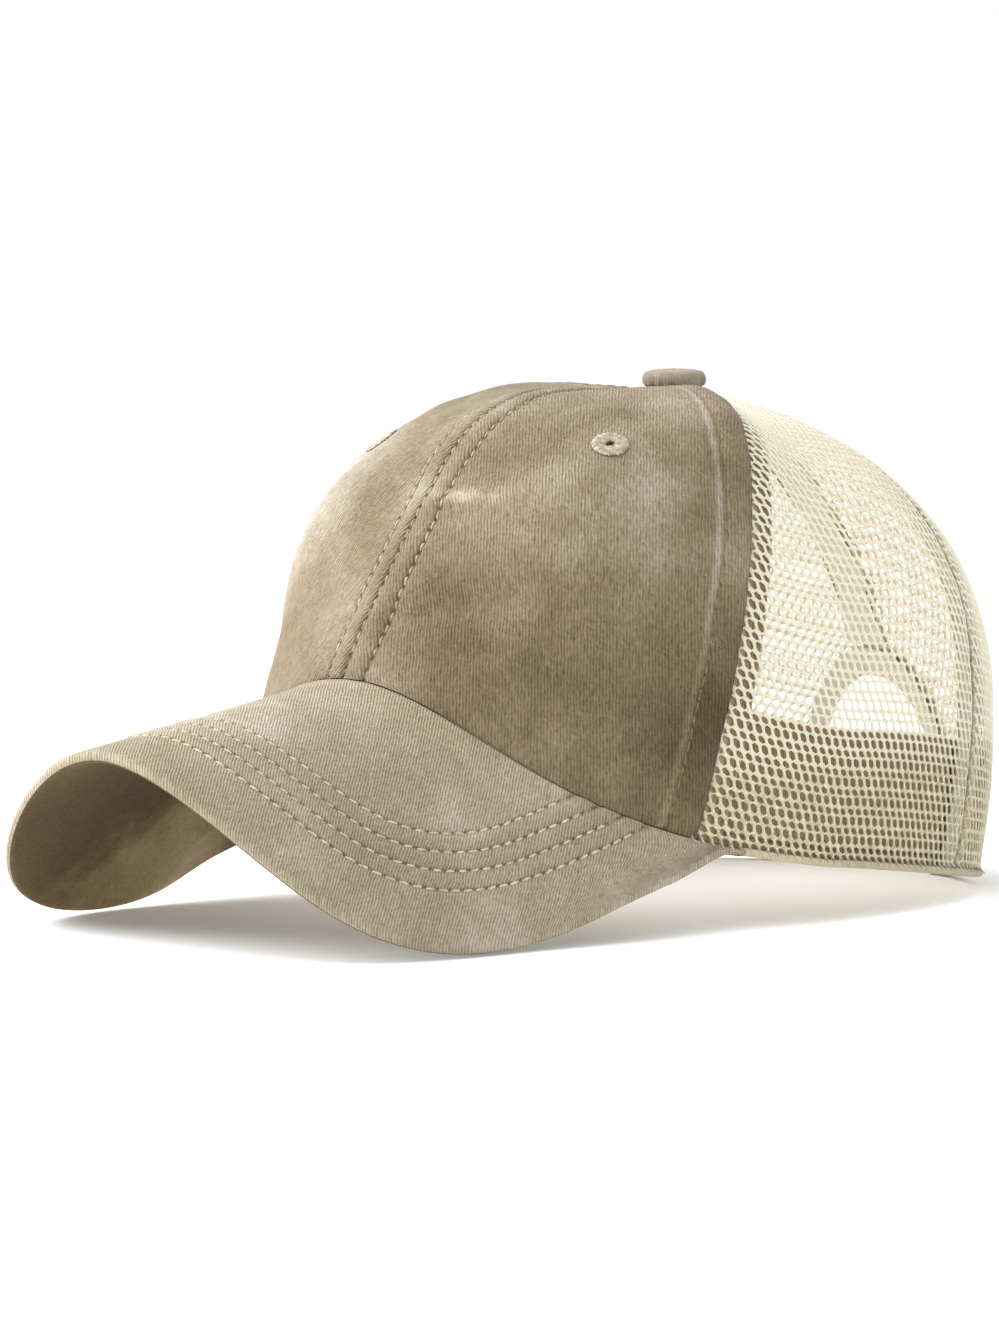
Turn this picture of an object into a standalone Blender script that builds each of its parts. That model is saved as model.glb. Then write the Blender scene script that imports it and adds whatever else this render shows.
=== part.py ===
# A trucker cap: two cotton front panels, four mesh panels, a curved peak, a sweatband,
# seam tapes, a covered top button, two eyelets and an adjuster strap under the back opening.
# Metres, +Z up. The peak points to -Y, the wearer's left side is +X, and X = 0 is the mirror plane.
# The cap stands on a table at Z = 0, on the two low points of the peak and on the back of its rim.

import math

import bmesh
import bpy
import numpy as np

# Driving dimensions of the crown
CROWN_HALF_WIDTH = 0.0775
CROWN_FRONT_LENGTH = 0.088
CROWN_BACK_LENGTH = 0.107
CROWN_HEIGHT = 0.1255
CROWN_TOP_SHIFT = 0.028
CROWN_BOW = 0.004
PANEL_FULLNESS = 0.0083
RIM_FRONT_HEIGHT = 0.0588
RIM_BACK_HEIGHT = 0.0023
CROWN_WALL = 0.0014

# Driving dimensions of the peak
PEAK_REACH = 0.0765
PEAK_HALF_WIDTH = 0.074
PEAK_TIP_HEIGHT = 0.0457
PEAK_THICKNESS = 0.003
PEAK_END_ANGLE = 72.0
PEAK_END_WIDTH = 0.002

# Seams, as angles round the crown from the front
FRONT_SEAM_ANGLE = 63.0
BACK_SEAM_ANGLE = 118.0

# Trim
CLEARANCE = 0.0003
TAPE_WIDTH = 0.012
TAPE_THICKNESS = 0.001
BAND_HEIGHT = 0.033
BAND_THICKNESS = 0.0014
RIM_BINDING_THICKNESS = 0.0012
OPENING_HALF_WIDTH = 0.038
OPENING_HEIGHT = 0.050
OPENING_BINDING_WIDTH = 0.008
STRAP_HEIGHT = 0.020
STRAP_THICKNESS = 0.0014
BUTTON_DIAMETER = 0.0155
BUTTON_HEIGHT = 0.0048
BUTTON_STEM_DIAMETER = 0.006
BUTTON_WASHER_DIAMETER = 0.013
BUTTON_WASHER_THICKNESS = 0.001
CROWN_HOLE_DIAMETER = 0.008
EYELET_DIAMETER = 0.0092
EYELET_HOLE_DIAMETER = 0.0036
EYELET_HEIGHT = 0.0011
EYELET_ANGLE = 34.5
EYELET_RISE = 0.43

# The rim's height round the crown, from its back height (0) to its front height (1)
RIM_ANGLES = (0, 20, 40, 60, 85, 125, 180)
RIM_SHARES = (1.0, 0.87, 0.60, 0.39, 0.25, 0.095, 0.0)

# How square the crown's plan is in front and behind; 2 is an ellipse
FRONT_SQUARENESS = 2.11
BACK_SQUARENESS = 2.28

# How the wall climbs at the front, the side and the back: how far it goes straight up,
# how wide it stays at the top, and how it leans out, as shares of the crown's height and width
WALL_CLIMB = {"front": 1.10, "side": 0.78, "back": 0.55}
WALL_ROOF = {"front": 0.70, "side": 0.45, "back": 0.37}
WALL_LEAN = {"front": -0.02, "side": -0.04, "back": -0.10}

# Where the sewn panels stand fuller than that: angle, rise, spread of both, and share of the fullness
FULL_PLACES = (
    (40, 0.28, 24, 0.20, 1.00),
    (0, 0.25, 18, 0.20, -0.30),
    (45, 0.72, 30, 0.16, 0.43),
    (90, 0.40, 30, 0.25, 0.50),
    (140, 0.35, 30, 0.25, 0.68),
    (60, 0.50, 20, 0.20, 0.97),
)

# The peak's outer edge from its middle to its end: share of the half width, of the reach
# in front of the crown, and of the tip's height
EDGE_WIDTH_SHARES = (0.0, 0.74, 0.92, 0.99, 1.0)
EDGE_REACH_SHARES = (1.0, 0.73, 0.097, -0.345, -0.76)
EDGE_HEIGHT_SHARES = (1.0, 0.285, 0.055, 0.255, 0.40)

# Fineness of the meshes
PANEL_COLUMNS = 14
PANEL_ROWS = 18
PEAK_COLUMNS = 36
PEAK_ROWS = 9
BAND_COLUMNS = 72
BAND_ROWS = 3
STRAP_COLUMNS = 20
BINDING_COLUMNS = 30
ROUND_SIDES = 28
EYELET_SIDES = 18
EYELET_SECTION = 6

# Plain colours of the pieces
FRONT_COTTON = (0.36, 0.28, 0.19)
PEAK_COTTON = (0.40, 0.35, 0.26)
BUTTON_COTTON = (0.38, 0.31, 0.22)
MESH = (0.62, 0.55, 0.42)
TAPE = (0.42, 0.35, 0.24)
THREAD = (0.62, 0.55, 0.42)

TAPE_DEPTH = CROWN_WALL + CLEARANCE
BAND_DEPTH = TAPE_DEPTH + TAPE_THICKNESS + CLEARANCE
STRAP_END_WIDTH = OPENING_HALF_WIDTH + OPENING_BINDING_WIDTH


def spline(knots, values, at):
    """The smooth cubic curve through a few values, level at both ends."""
    knots = np.asarray(knots, float)
    values = np.asarray(values, float)
    steps = np.diff(knots)
    rises = np.diff(values) / steps
    count = len(knots)
    system = np.zeros((count, count))
    wanted = np.zeros(count)
    system[0, 0] = 1.0
    system[-1, -1] = 1.0
    for place in range(1, count - 1):
        system[place, place - 1] = steps[place]
        system[place, place] = 2 * (steps[place - 1] + steps[place])
        system[place, place + 1] = steps[place - 1]
        wanted[place] = 3 * (rises[place - 1] * steps[place] + rises[place] * steps[place - 1])
    slopes = np.linalg.solve(system, wanted)
    at = np.clip(at, knots[0], knots[-1])
    left = np.clip(np.searchsorted(knots, at, side="right") - 1, 0, count - 2)
    step = steps[left]
    share = (at - knots[left]) / step
    return (values[left] * (1 + 2 * share) * (1 - share) ** 2
            + values[left + 1] * share ** 2 * (3 - 2 * share)
            + slopes[left] * step * share * (1 - share) ** 2
            - slopes[left + 1] * step * share ** 2 * (1 - share))


def rim_height(angle):
    """Height of the crown's bottom edge, at an angle in degrees from the front."""
    turned = np.abs((np.asarray(angle, float) + 180.0) % 360.0 - 180.0)
    share = spline(RIM_ANGLES, RIM_SHARES, turned)
    return RIM_BACK_HEIGHT + (RIM_FRONT_HEIGHT - RIM_BACK_HEIGHT) * share


def mixed(table, angle):
    """A value that goes smoothly from front to side to back."""
    forward = np.cos(np.radians(angle))
    front = np.clip(forward, 0, 1) ** 2
    back = np.clip(-forward, 0, 1) ** 2
    return table["front"] * front + table["back"] * back + table["side"] * (1 - front - back)


def crown_point(angle, rise):
    """A point of the crown's outer face: angle in degrees, rise 0 at the rim and 1 at the top."""
    angle, rise = np.broadcast_arrays(np.asarray(angle, float), np.asarray(rise, float))
    turn = np.radians(angle)
    forward = np.cos(turn)
    sideways = np.sin(turn)
    length = np.where(forward > 0, CROWN_FRONT_LENGTH, CROWN_BACK_LENGTH)
    squareness = 2 / np.where(forward > 0, FRONT_SQUARENESS, BACK_SQUARENESS)
    x = CROWN_HALF_WIDTH * np.sign(sideways) * np.abs(sideways) ** squareness
    y = -length * np.sign(forward) * np.abs(forward) ** squareness
    start = (1 - rise) ** 3
    low = 3 * rise * (1 - rise) ** 2
    high = 3 * rise ** 2 * (1 - rise)
    width = start + low * (1 + mixed(WALL_LEAN, angle)) + high * mixed(WALL_ROOF, angle)
    climb = low * mixed(WALL_CLIMB, angle) + high + rise ** 3
    rim = rim_height(angle)
    point = np.stack([
        x * width,
        y * width + CROWN_TOP_SHIFT * climb + CROWN_BOW * 4 * climb * (1 - climb),
        rim + (CROWN_HEIGHT - rim) * climb,
    ], -1)
    tip = rise * math.pi / 2
    outward = np.stack([sideways * np.cos(tip), -forward * np.cos(tip), np.sin(tip)], -1)
    fullness = np.zeros(angle.shape)
    for place, height, spread, depth, share in FULL_PLACES:
        for side in sorted({place, -place}):
            away = (angle - side + 180.0) % 360.0 - 180.0
            fullness += share * np.exp(-(away / spread) ** 2 - ((rise - height) / depth) ** 2)
    return point + outward * (PANEL_FULLNESS * fullness)[..., None]


def crown_outward(angle, rise):
    """The direction out of the crown, kept level along the rim so that every layer ends there."""
    angle, rise = np.broadcast_arrays(np.asarray(angle, float), np.asarray(rise, float))
    around = crown_point(angle + 0.2, rise) - crown_point(angle - 0.2, rise)
    upper = np.minimum(rise + 0.002, 1.0)
    lower = np.maximum(upper - 0.004, 0.0)
    up = crown_point(angle, upper) - crown_point(angle, lower)
    out = np.cross(around, up)
    out = out / np.linalg.norm(out, axis=-1, keepdims=True)
    out[..., 2] *= np.clip(rise / 0.12, 0, 1)
    return out / np.linalg.norm(out, axis=-1, keepdims=True)


def crown_layer(angle, rise, depth):
    """A point at a depth inside the crown's outer face."""
    return crown_point(angle, rise) - crown_outward(angle, rise) * depth


def degrees_for(length, angle, rise):
    """The angle that a length along the crown's wall covers."""
    arc = np.linalg.norm(crown_point(angle + 0.5, rise) - crown_point(angle - 0.5, rise), axis=-1)
    return length / np.maximum(arc, 1e-6)


def rise_for(length, angle):
    """The rise at a length up the wall from the rim."""
    rises = np.linspace(0, 1, 201)
    steps = np.linalg.norm(np.diff(crown_point(angle, rises), axis=0), axis=-1)
    return float(np.interp(length, np.concatenate([[0.0], np.cumsum(steps)]), rises))


def top_rise(radius, angle):
    """The rise where the crown is at a radius from the button's axis."""
    rises = np.linspace(0.5, 1, 201)
    points = crown_point(angle, rises)
    away = np.hypot(points[:, 0], points[:, 1] - CROWN_TOP_SHIFT)
    return float(np.interp(-radius, -away, rises))


def cloth(name, colour, roughness):
    """A plain matt material for one piece."""
    material = bpy.data.materials.new(name)
    material.use_nodes = True
    shader = material.node_tree.nodes["Principled BSDF"]
    shader.inputs["Base Color"].default_value = (*colour, 1.0)
    shader.inputs["Roughness"].default_value = roughness
    shader.inputs["Metallic"].default_value = 0.0
    return material


PIECES = []


def solid(name, points, faces, colour, roughness=0.9):
    """One closed mesh object, with its faces turned out."""
    mesh = bpy.data.meshes.new(name)
    mesh.from_pydata([tuple(point) for point in points], [], faces)
    work = bmesh.new()
    work.from_mesh(mesh)
    bmesh.ops.triangulate(work, faces=work.faces[:])
    bmesh.ops.recalc_face_normals(work, faces=work.faces[:])
    if work.calc_volume(signed=True) < 0:
        bmesh.ops.reverse_faces(work, faces=work.faces[:])
    work.to_mesh(mesh)
    work.free()
    mesh.materials.append(cloth(name, colour, roughness))
    piece = bpy.data.objects.new(name, mesh)
    bpy.context.scene.collection.objects.link(piece)
    PIECES.append(piece)
    return piece


def slab(name, outer, inner, colour, roughness=0.9):
    """A closed sheet between two grids of points with the same rows and columns."""
    rows, columns = outer.shape[:2]
    points = np.concatenate([outer.reshape(-1, 3), inner.reshape(-1, 3)])
    below = rows * columns
    faces = []
    for row in range(rows - 1):
        for column in range(columns - 1):
            a = row * columns + column
            b = a + 1
            c = b + columns
            d = a + columns
            faces.append((a, b, c, d))
            faces.append((d + below, c + below, b + below, a + below))
    border = [column for column in range(columns)]
    border += [row * columns + columns - 1 for row in range(1, rows)]
    border += [(rows - 1) * columns + column for column in range(columns - 2, -1, -1)]
    border += [row * columns for row in range(rows - 2, 0, -1)]
    for a, b in zip(border, border[1:] + border[:1]):
        faces.append((b, a, a + below, b + below))
    return solid(name, points, faces, colour, roughness)


def opening_edge(rise, margin=0.0):
    """Half the back opening's angle at a rise: an arch with its feet on the rim."""
    half = degrees_for(OPENING_HALF_WIDTH + margin, 180.0, 0.0)
    top = rise_for(OPENING_HEIGHT + margin, 180.0)
    return half * np.sqrt(np.clip(1 - (rise / top) ** 2, 0, 1))


def panel_rises(angle):
    """The rises of a panel's rows, from the rim to the hole under the button."""
    return np.linspace(0, 1, PANEL_ROWS + 1) * top_rise(CROWN_HOLE_DIAMETER / 2, angle)


def arch_rises():
    """The rises of the rows at the back's middle, which close up towards the top of the arch."""
    top = rise_for(OPENING_HEIGHT, 180.0)
    half = PANEL_ROWS // 2
    lower = top * np.sin(np.linspace(0, math.pi / 2, half + 1))
    upper = np.linspace(top, top_rise(CROWN_HOLE_DIAMETER / 2, 180.0), PANEL_ROWS - half + 1)
    return np.concatenate([lower, upper[1:]])


def panel(name, first, last, colour, opened=False):
    """One crown panel between two seams, which keeps a clearance to its neighbours."""
    shares = np.linspace(0, 1, PANEL_COLUMNS + 1)
    angles = np.zeros((PANEL_ROWS + 1, PANEL_COLUMNS + 1))
    heights = np.zeros_like(angles)
    for column, share in enumerate(shares):
        rises = panel_rises(first + (last - first) * share)
        ends = np.full_like(rises, last)
        if opened:
            rises = rises * (1 - share) + arch_rises() * share
            ends = np.sign(last) * (180.0 - opening_edge(rises))
        line = first + (ends - first) * share
        trim = degrees_for(CLEARANCE / 2, line, rises) * np.sign(last - first)
        angles[:, column] = line + trim * (1 - 2 * share)
        heights[:, column] = rises
    return slab(name, crown_layer(angles, heights, 0.0), crown_layer(angles, heights, CROWN_WALL), colour)


def tape(name, angle, low, colour):
    """A tape inside the crown, over one seam, from a rise up to the button."""
    high = top_rise(TAPE_WIDTH * 1.1, angle)
    rises = np.concatenate([[low], panel_rises(angle), [high]])
    rises = np.unique(rises[(rises >= low) & (rises <= high)])
    width = degrees_for(TAPE_WIDTH, angle, rises)
    shares = np.linspace(-0.5, 0.5, 3)
    angles = angle + width[:, None] * shares[None, :]
    heights = np.repeat(rises[:, None], 3, axis=1)
    outer = crown_layer(angles, heights, TAPE_DEPTH)
    inner = crown_layer(angles, heights, TAPE_DEPTH + TAPE_THICKNESS)
    return slab(name, outer, inner, colour)


def band(name, first, last, columns, height, depth, thickness, colour):
    """A strip that stands on the rim inside the crown, between two angles."""
    line = np.linspace(first, last, columns + 1)
    tops = np.array([rise_for(height, angle) for angle in line])
    rows = np.linspace(0, 1, BAND_ROWS + 1)
    angles = np.repeat(line[None, :], len(rows), axis=0)
    heights = rows[:, None] * tops[None, :]
    outer = crown_layer(angles, heights, depth)
    inner = crown_layer(angles, heights, depth + thickness)
    return slab(name, outer, inner, colour)


def rim_binding(name, side):
    """The tape's folded edge under the wall, from the peak's end to the back opening."""
    start = PEAK_END_ANGLE + float(degrees_for(2 * CLEARANCE, PEAK_END_ANGLE, 0.0))
    end = 180.0 - float(opening_edge(0.0))
    line = np.linspace(start, end, BINDING_COLUMNS + 1) * side
    depths = np.array([0.0, TAPE_DEPTH, BAND_DEPTH + BAND_THICKNESS])
    grid = np.stack([crown_layer(line, np.zeros_like(line), depth) for depth in depths])
    upper = grid - np.array([0.0, 0.0, CLEARANCE])
    lower = upper - np.array([0.0, 0.0, RIM_BINDING_THICKNESS])
    return slab(name, upper, lower, TAPE)


def opening_binding():
    """The tape that faces the back opening's arch on the inside."""
    turns = np.linspace(0, math.pi, BINDING_COLUMNS + 1)
    margins = np.array([0.0, OPENING_BINDING_WIDTH / 2, OPENING_BINDING_WIDTH])
    angles = np.zeros((len(margins), len(turns)))
    heights = np.zeros_like(angles)
    for row, margin in enumerate(margins):
        half = float(opening_edge(0.0, margin))
        top = rise_for(OPENING_HEIGHT + margin, 180.0)
        angles[row] = 180.0 - half * np.cos(turns)
        heights[row] = top * np.sin(turns)
    outer = crown_layer(angles, heights, TAPE_DEPTH)
    inner = crown_layer(angles, heights, TAPE_DEPTH + TAPE_THICKNESS)
    return slab("opening_binding", outer, inner, TAPE)


def mirrored_spline(values, shares, odd=False):
    """A smooth curve across the whole peak, from its values between the middle and one end."""
    values = np.asarray(values, float)
    sign = -1.0 if odd else 1.0
    knots = np.linspace(-1, 1, 2 * len(values) - 1)
    return spline(knots, np.concatenate([sign * values[:0:-1], values]), shares)


def peak_edge(shares):
    """The peak's outer edge on its top face; shares run from -1 at the right end to 1 at the left."""
    width = mirrored_spline(EDGE_WIDTH_SHARES, shares, odd=True) * PEAK_HALF_WIDTH
    reach = mirrored_spline(EDGE_REACH_SHARES, shares) * PEAK_REACH
    height = mirrored_spline(EDGE_HEIGHT_SHARES, shares) * PEAK_TIP_HEIGHT
    return np.stack([width, -CROWN_FRONT_LENGTH - reach, height], -1)


def peak_seat(shares, depth=0.0):
    """The line where the peak meets the crown, just under the wall."""
    angles = np.asarray(shares) * PEAK_END_ANGLE
    return crown_layer(angles, np.zeros_like(angles), depth) - np.array([0.0, 0.0, CLEARANCE])


def peak():
    """The stiff peak: a sheet ruled from the crown's rim to its arched outer edge."""
    shares = np.linspace(-1, 1, PEAK_COLUMNS + 1)
    seat = peak_seat(shares)
    root = peak_seat(shares, BAND_DEPTH - CLEARANCE)
    # The edge closes on the rim at each end, where the sheet is only as wide as PEAK_END_WIDTH
    closing = np.clip((np.abs(shares) - 0.8) / 0.2, 0, 1)[:, None] ** 2
    out = crown_outward(shares * PEAK_END_ANGLE, np.zeros_like(shares))
    edge = peak_edge(shares) * (1 - closing) + (seat + out * PEAK_END_WIDTH) * closing
    rows = [root, seat]
    for step in np.linspace(0, 1, PEAK_ROWS)[1:]:
        rows.append(seat + (edge - seat) * step)
    top = np.stack(rows)
    # The thickness goes square to the sheet; near the ends it follows the last wide place
    wide = np.clip(shares, -0.85, 0.85)
    ahead = peak_seat(wide + 0.02) + peak_edge(wide + 0.02)
    behind = peak_seat(wide - 0.02) + peak_edge(wide - 0.02)
    square = np.cross(ahead - behind, peak_edge(wide) - peak_seat(wide))
    square = square / np.linalg.norm(square, axis=-1, keepdims=True)
    square *= np.sign(square[:, 2:3])
    return slab("peak", top, top - square[None, :, :] * PEAK_THICKNESS, PEAK_COTTON)


def turned(name, profile, colour, sides=ROUND_SIDES):
    """A solid turned about the vertical axis at the crown's top, from (radius, height) pairs."""
    points = [(0.0, CROWN_TOP_SHIFT, profile[0][1])]
    faces = []
    ring = []
    for radius, height in profile[1:-1]:
        ring.append(len(points))
        for side in range(sides):
            turn = 2 * math.pi * side / sides
            points.append((radius * math.cos(turn), CROWN_TOP_SHIFT + radius * math.sin(turn), height))
    points.append((0.0, CROWN_TOP_SHIFT, profile[-1][1]))
    for side in range(sides):
        ahead = (side + 1) % sides
        faces.append((0, ring[0] + ahead, ring[0] + side))
        for lower, upper in zip(ring, ring[1:]):
            faces.append((lower + side, lower + ahead, upper + ahead, upper + side))
        faces.append((ring[-1] + side, ring[-1] + ahead, len(points) - 1))
    return solid(name, points, faces, colour)


def heights_round_top(depth, radii):
    """The crown wall's heights at a depth, on circles round the button's axis."""
    heights = []
    for angle in range(0, 360, 10):
        for radius in radii:
            heights.append(crown_layer(angle, top_rise(radius, angle), depth)[..., 2])
    return np.array(heights)


def top_button():
    """The covered button: a low dome over the crown's hole, a stem through it and a washer inside."""
    hole = CROWN_HOLE_DIAMETER / 2
    radius = BUTTON_DIAMETER / 2
    washer = BUTTON_WASHER_DIAMETER / 2
    stem = BUTTON_STEM_DIAMETER / 2
    seat = heights_round_top(0.0, (hole, (hole + radius) / 2, radius)).max() + CLEARANCE
    inside = heights_round_top(CROWN_WALL, (hole, (hole + washer) / 2, washer)).min() - CLEARANCE
    profile = [
        (0.0, inside - BUTTON_WASHER_THICKNESS),
        (washer, inside - BUTTON_WASHER_THICKNESS),
        (washer, inside),
        (stem, inside),
        (stem, seat),
        (radius * 0.93, seat),
        (radius, seat + BUTTON_HEIGHT * 0.22),
    ]
    for step in range(1, 7):
        turn = math.pi / 2 * step / 7
        profile.append((radius * math.cos(turn) ** 0.8,
                        seat + BUTTON_HEIGHT * (0.22 + 0.78 * math.sin(turn))))
    profile.append((0.0, seat + BUTTON_HEIGHT))
    return turned("top_button", profile, BUTTON_COTTON)


def eyelet(name, side):
    """A sewn ring that lies on the front panel."""
    angle = EYELET_ANGLE * side
    centre = crown_point(angle, EYELET_RISE)
    out = crown_outward(angle, EYELET_RISE)
    across = np.cross(out, (0.0, 0.0, 1.0))
    across /= np.linalg.norm(across)
    along = np.cross(out, across)
    middle = (EYELET_DIAMETER + EYELET_HOLE_DIAMETER) / 4
    half = (EYELET_DIAMETER - EYELET_HOLE_DIAMETER) / 4
    sides = EYELET_SIDES
    section = EYELET_SECTION
    points = []
    faces = []
    for step in range(sides):
        turn = 2 * math.pi * step / sides
        spoke = across * math.cos(turn) + along * math.sin(turn)
        for corner in range(section):
            roll = 2 * math.pi * corner / section
            height = CLEARANCE * 1.5 + EYELET_HEIGHT * (0.5 + 0.5 * math.sin(roll))
            points.append(centre + spoke * (middle + half * math.cos(roll)) + out * height)
    for step in range(sides):
        for corner in range(section):
            a = step * section + corner
            b = step * section + (corner + 1) % section
            c = (step + 1) % sides * section + (corner + 1) % section
            d = (step + 1) % sides * section + corner
            faces.append((a, b, c, d))
    return solid(name, points, faces, THREAD)


def corners_of(pieces):
    """Every corner of the pieces, as one array."""
    return np.array([vertex.co[:] for piece in pieces for vertex in piece.data.vertices])


def move_corners(turn, shift):
    """Turns every piece about the X axis by an angle, then shifts it."""
    for piece in PIECES:
        for vertex in piece.data.vertices:
            x, y, z = vertex.co
            y, z = y * math.cos(turn) + z * math.sin(turn), z * math.cos(turn) - y * math.sin(turn)
            vertex.co = (x + shift[0], y + shift[1], z + shift[2])


def stand_on_table():
    """Tilts the cap so that the peak and the back of the rim both touch Z = 0, and centres it."""
    for _ in range(4):
        corners = corners_of(PIECES)
        front = corners[corners[:, 1] < -CROWN_FRONT_LENGTH / 2]
        back = corners[corners[:, 1] > CROWN_BACK_LENGTH / 2]
        reach = back[back[:, 2].argmin()] - front[front[:, 2].argmin()]
        move_corners(math.atan2(reach[2], reach[1]), (0.0, 0.0, 0.0))
    corners = corners_of(PIECES)
    middle = (corners.min(axis=0) + corners.max(axis=0)) / 2
    move_corners(0.0, (0.0, -middle[1], -corners[:, 2].min()))


for leftover in list(bpy.data.objects):
    bpy.data.objects.remove(leftover)

for side, sign in (("left", 1), ("right", -1)):
    panel("front_panel_" + side, 0.0, FRONT_SEAM_ANGLE * sign, FRONT_COTTON)
    panel("side_mesh_" + side, FRONT_SEAM_ANGLE * sign, BACK_SEAM_ANGLE * sign, MESH)
    panel("back_mesh_" + side, BACK_SEAM_ANGLE * sign, 180.0 * sign, MESH, opened=True)
    tape("front_seam_tape_" + side, FRONT_SEAM_ANGLE * sign, 0.0, TAPE)
    tape("back_seam_tape_" + side, BACK_SEAM_ANGLE * sign, 0.0, TAPE)
    rim_binding("rim_binding_" + side, sign)
    eyelet("eyelet_" + side, sign)
tape("front_middle_tape", 0.0, 0.0, TAPE)
tape("back_middle_tape", 180.0, rise_for(OPENING_HEIGHT + OPENING_BINDING_WIDTH + CLEARANCE, 180.0), TAPE)
STRAP_END = 180.0 - float(degrees_for(STRAP_END_WIDTH, 180.0, 0.0))
BAND_END = STRAP_END - float(degrees_for(CLEARANCE, STRAP_END, 0.0))
band("sweatband", -BAND_END, BAND_END, BAND_COLUMNS, BAND_HEIGHT, BAND_DEPTH, BAND_THICKNESS, TAPE)
band("adjuster_strap", STRAP_END, 360.0 - STRAP_END, STRAP_COLUMNS, STRAP_HEIGHT,
     BAND_DEPTH, STRAP_THICKNESS, MESH)
opening_binding()
peak()
top_button()
stand_on_table()
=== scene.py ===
# %% [markdown]
# A trucker cap in washed cotton: two stiff front panels, a curved peak, and net all round the back.
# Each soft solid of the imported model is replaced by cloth, net, tape or thread in the same place.

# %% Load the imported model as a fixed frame
import math

import bpy
import numpy as np
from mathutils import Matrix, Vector, noise


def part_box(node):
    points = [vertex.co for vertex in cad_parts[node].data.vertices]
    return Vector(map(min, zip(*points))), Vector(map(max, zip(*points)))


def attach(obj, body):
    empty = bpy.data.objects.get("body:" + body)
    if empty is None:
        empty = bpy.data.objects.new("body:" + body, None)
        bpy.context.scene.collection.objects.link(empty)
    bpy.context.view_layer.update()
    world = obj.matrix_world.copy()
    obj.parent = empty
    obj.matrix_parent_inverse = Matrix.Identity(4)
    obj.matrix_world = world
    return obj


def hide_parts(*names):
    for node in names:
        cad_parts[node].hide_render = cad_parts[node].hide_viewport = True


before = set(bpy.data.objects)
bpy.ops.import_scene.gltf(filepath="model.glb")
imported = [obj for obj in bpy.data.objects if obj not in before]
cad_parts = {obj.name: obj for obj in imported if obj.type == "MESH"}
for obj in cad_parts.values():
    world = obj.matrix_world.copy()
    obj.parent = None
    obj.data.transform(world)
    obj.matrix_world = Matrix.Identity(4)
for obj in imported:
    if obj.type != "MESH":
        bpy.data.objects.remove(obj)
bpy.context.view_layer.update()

SIDES = (("left", 1), ("right", -1))
print("nodes in the frame:", len(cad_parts))

# %% [markdown]
# The camera comes first, so that every piece can be looked at from the photograph's own angle: a
# little above the table, in front of the wearer's left eye, with a long lens.

# %% Camera
CAMERA_AZIMUTH = 44.0
CAMERA_ELEVATION = 3.8
CAMERA_DISTANCE = 1.3526
CAMERA_LENS = 148.5
CAMERA_AIM = Vector((-0.0169, 0.0115, 0.0572))


def primitive(operator, name, **settings):
    """Deselects everything and adds a primitive, lamp or camera with a name."""
    bpy.ops.object.select_all(action="DESELECT")
    operator(**settings)
    piece = bpy.context.object
    piece.name = piece.data.name = name
    return piece


def aimed(thing, azimuth, elevation, distance):
    """Stands a lamp or camera off the aim and turns it there; azimuth 0 is in front of the cap."""
    turn, lift = math.radians(azimuth), math.radians(elevation)
    away = Vector((math.sin(turn) * math.cos(lift), -math.cos(turn) * math.cos(lift), math.sin(lift)))
    thing.location = CAMERA_AIM + away * distance
    thing.rotation_euler = away.to_track_quat("Z", "Y").to_euler()


camera = primitive(bpy.ops.object.camera_add, "camera")
camera.data.lens = CAMERA_LENS
camera.data.sensor_width = 36
aimed(camera, CAMERA_AZIMUTH, CAMERA_ELEVATION, CAMERA_DISTANCE)
bpy.context.scene.camera = camera
print("camera at", [round(x, 3) for x in camera.location])

# %% [markdown]
# The cap stands on white paper in a white studio. A large soft lamp brightens the picture's left
# side, and a weaker one above draws the soft shadow.

# %% Floor, sky and lamps
FLOOR_SIZE = 40.0
PAPER_WHITE = (0.93, 0.93, 0.93, 1)
PAPER_GLOW = 0.07
# Each soft lamp's azimuth, elevation, distance, size and power
SOFT_LAMPS = {"left_lamp": (-52, 32, 1.5, 1.3, 40), "front_lamp": (20, 62, 1.5, 0.9, 8)}
INSIDE_LAMP_PLACE = (0.0, 0.035, 0.070)
INSIDE_LAMP_SIZE = 0.03
INSIDE_LAMP_POWER = 0.085
WHITE = (1, 1, 1, 1)


def settle(node, values):
    """Sets inputs of a node to plain numbers and colours."""
    for socket, value in values.items():
        node.inputs[socket].default_value = value


for name, (azimuth, elevation, distance, size, power) in SOFT_LAMPS.items():
    lamp = primitive(bpy.ops.object.light_add, name, type="AREA")
    lamp.data.shape = "DISK"
    lamp.data.size = size
    lamp.data.energy = power
    aimed(lamp, azimuth, elevation, distance)

# A small lamp inside the crown lights the net through, as white card inside a cap does
inside_lamp = primitive(bpy.ops.object.light_add, "inside_lamp", type="POINT", location=INSIDE_LAMP_PLACE)
inside_lamp.data.energy = INSIDE_LAMP_POWER
inside_lamp.data.shadow_soft_size = INSIDE_LAMP_SIZE
inside_lamp.visible_camera = False

floor = primitive(bpy.ops.mesh.primitive_plane_add, "floor", size=FLOOR_SIZE)
paper = bpy.data.materials.new("white paper")
paper.use_nodes = True
settle(paper.node_tree.nodes["Principled BSDF"], {
    "Base Color": PAPER_WHITE, "Emission Color": WHITE, "Emission Strength": PAPER_GLOW,
    "Roughness": 1.0, "Specular IOR Level": 0.0})
floor.data.materials.append(paper)
sky = bpy.data.worlds.new("white studio")
sky.use_nodes = True
settle(sky.node_tree.nodes["Background"], {"Color": WHITE, "Strength": 1.0})
bpy.context.scene.world = sky
bpy.context.scene.view_settings.view_transform = "Standard"

# %% [markdown]
# A cap's pieces are cut flat and sewn to one doubly curved form. It is worked out from an angle
# round the head and a rise from the rim to the button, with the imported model's sizes.

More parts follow.
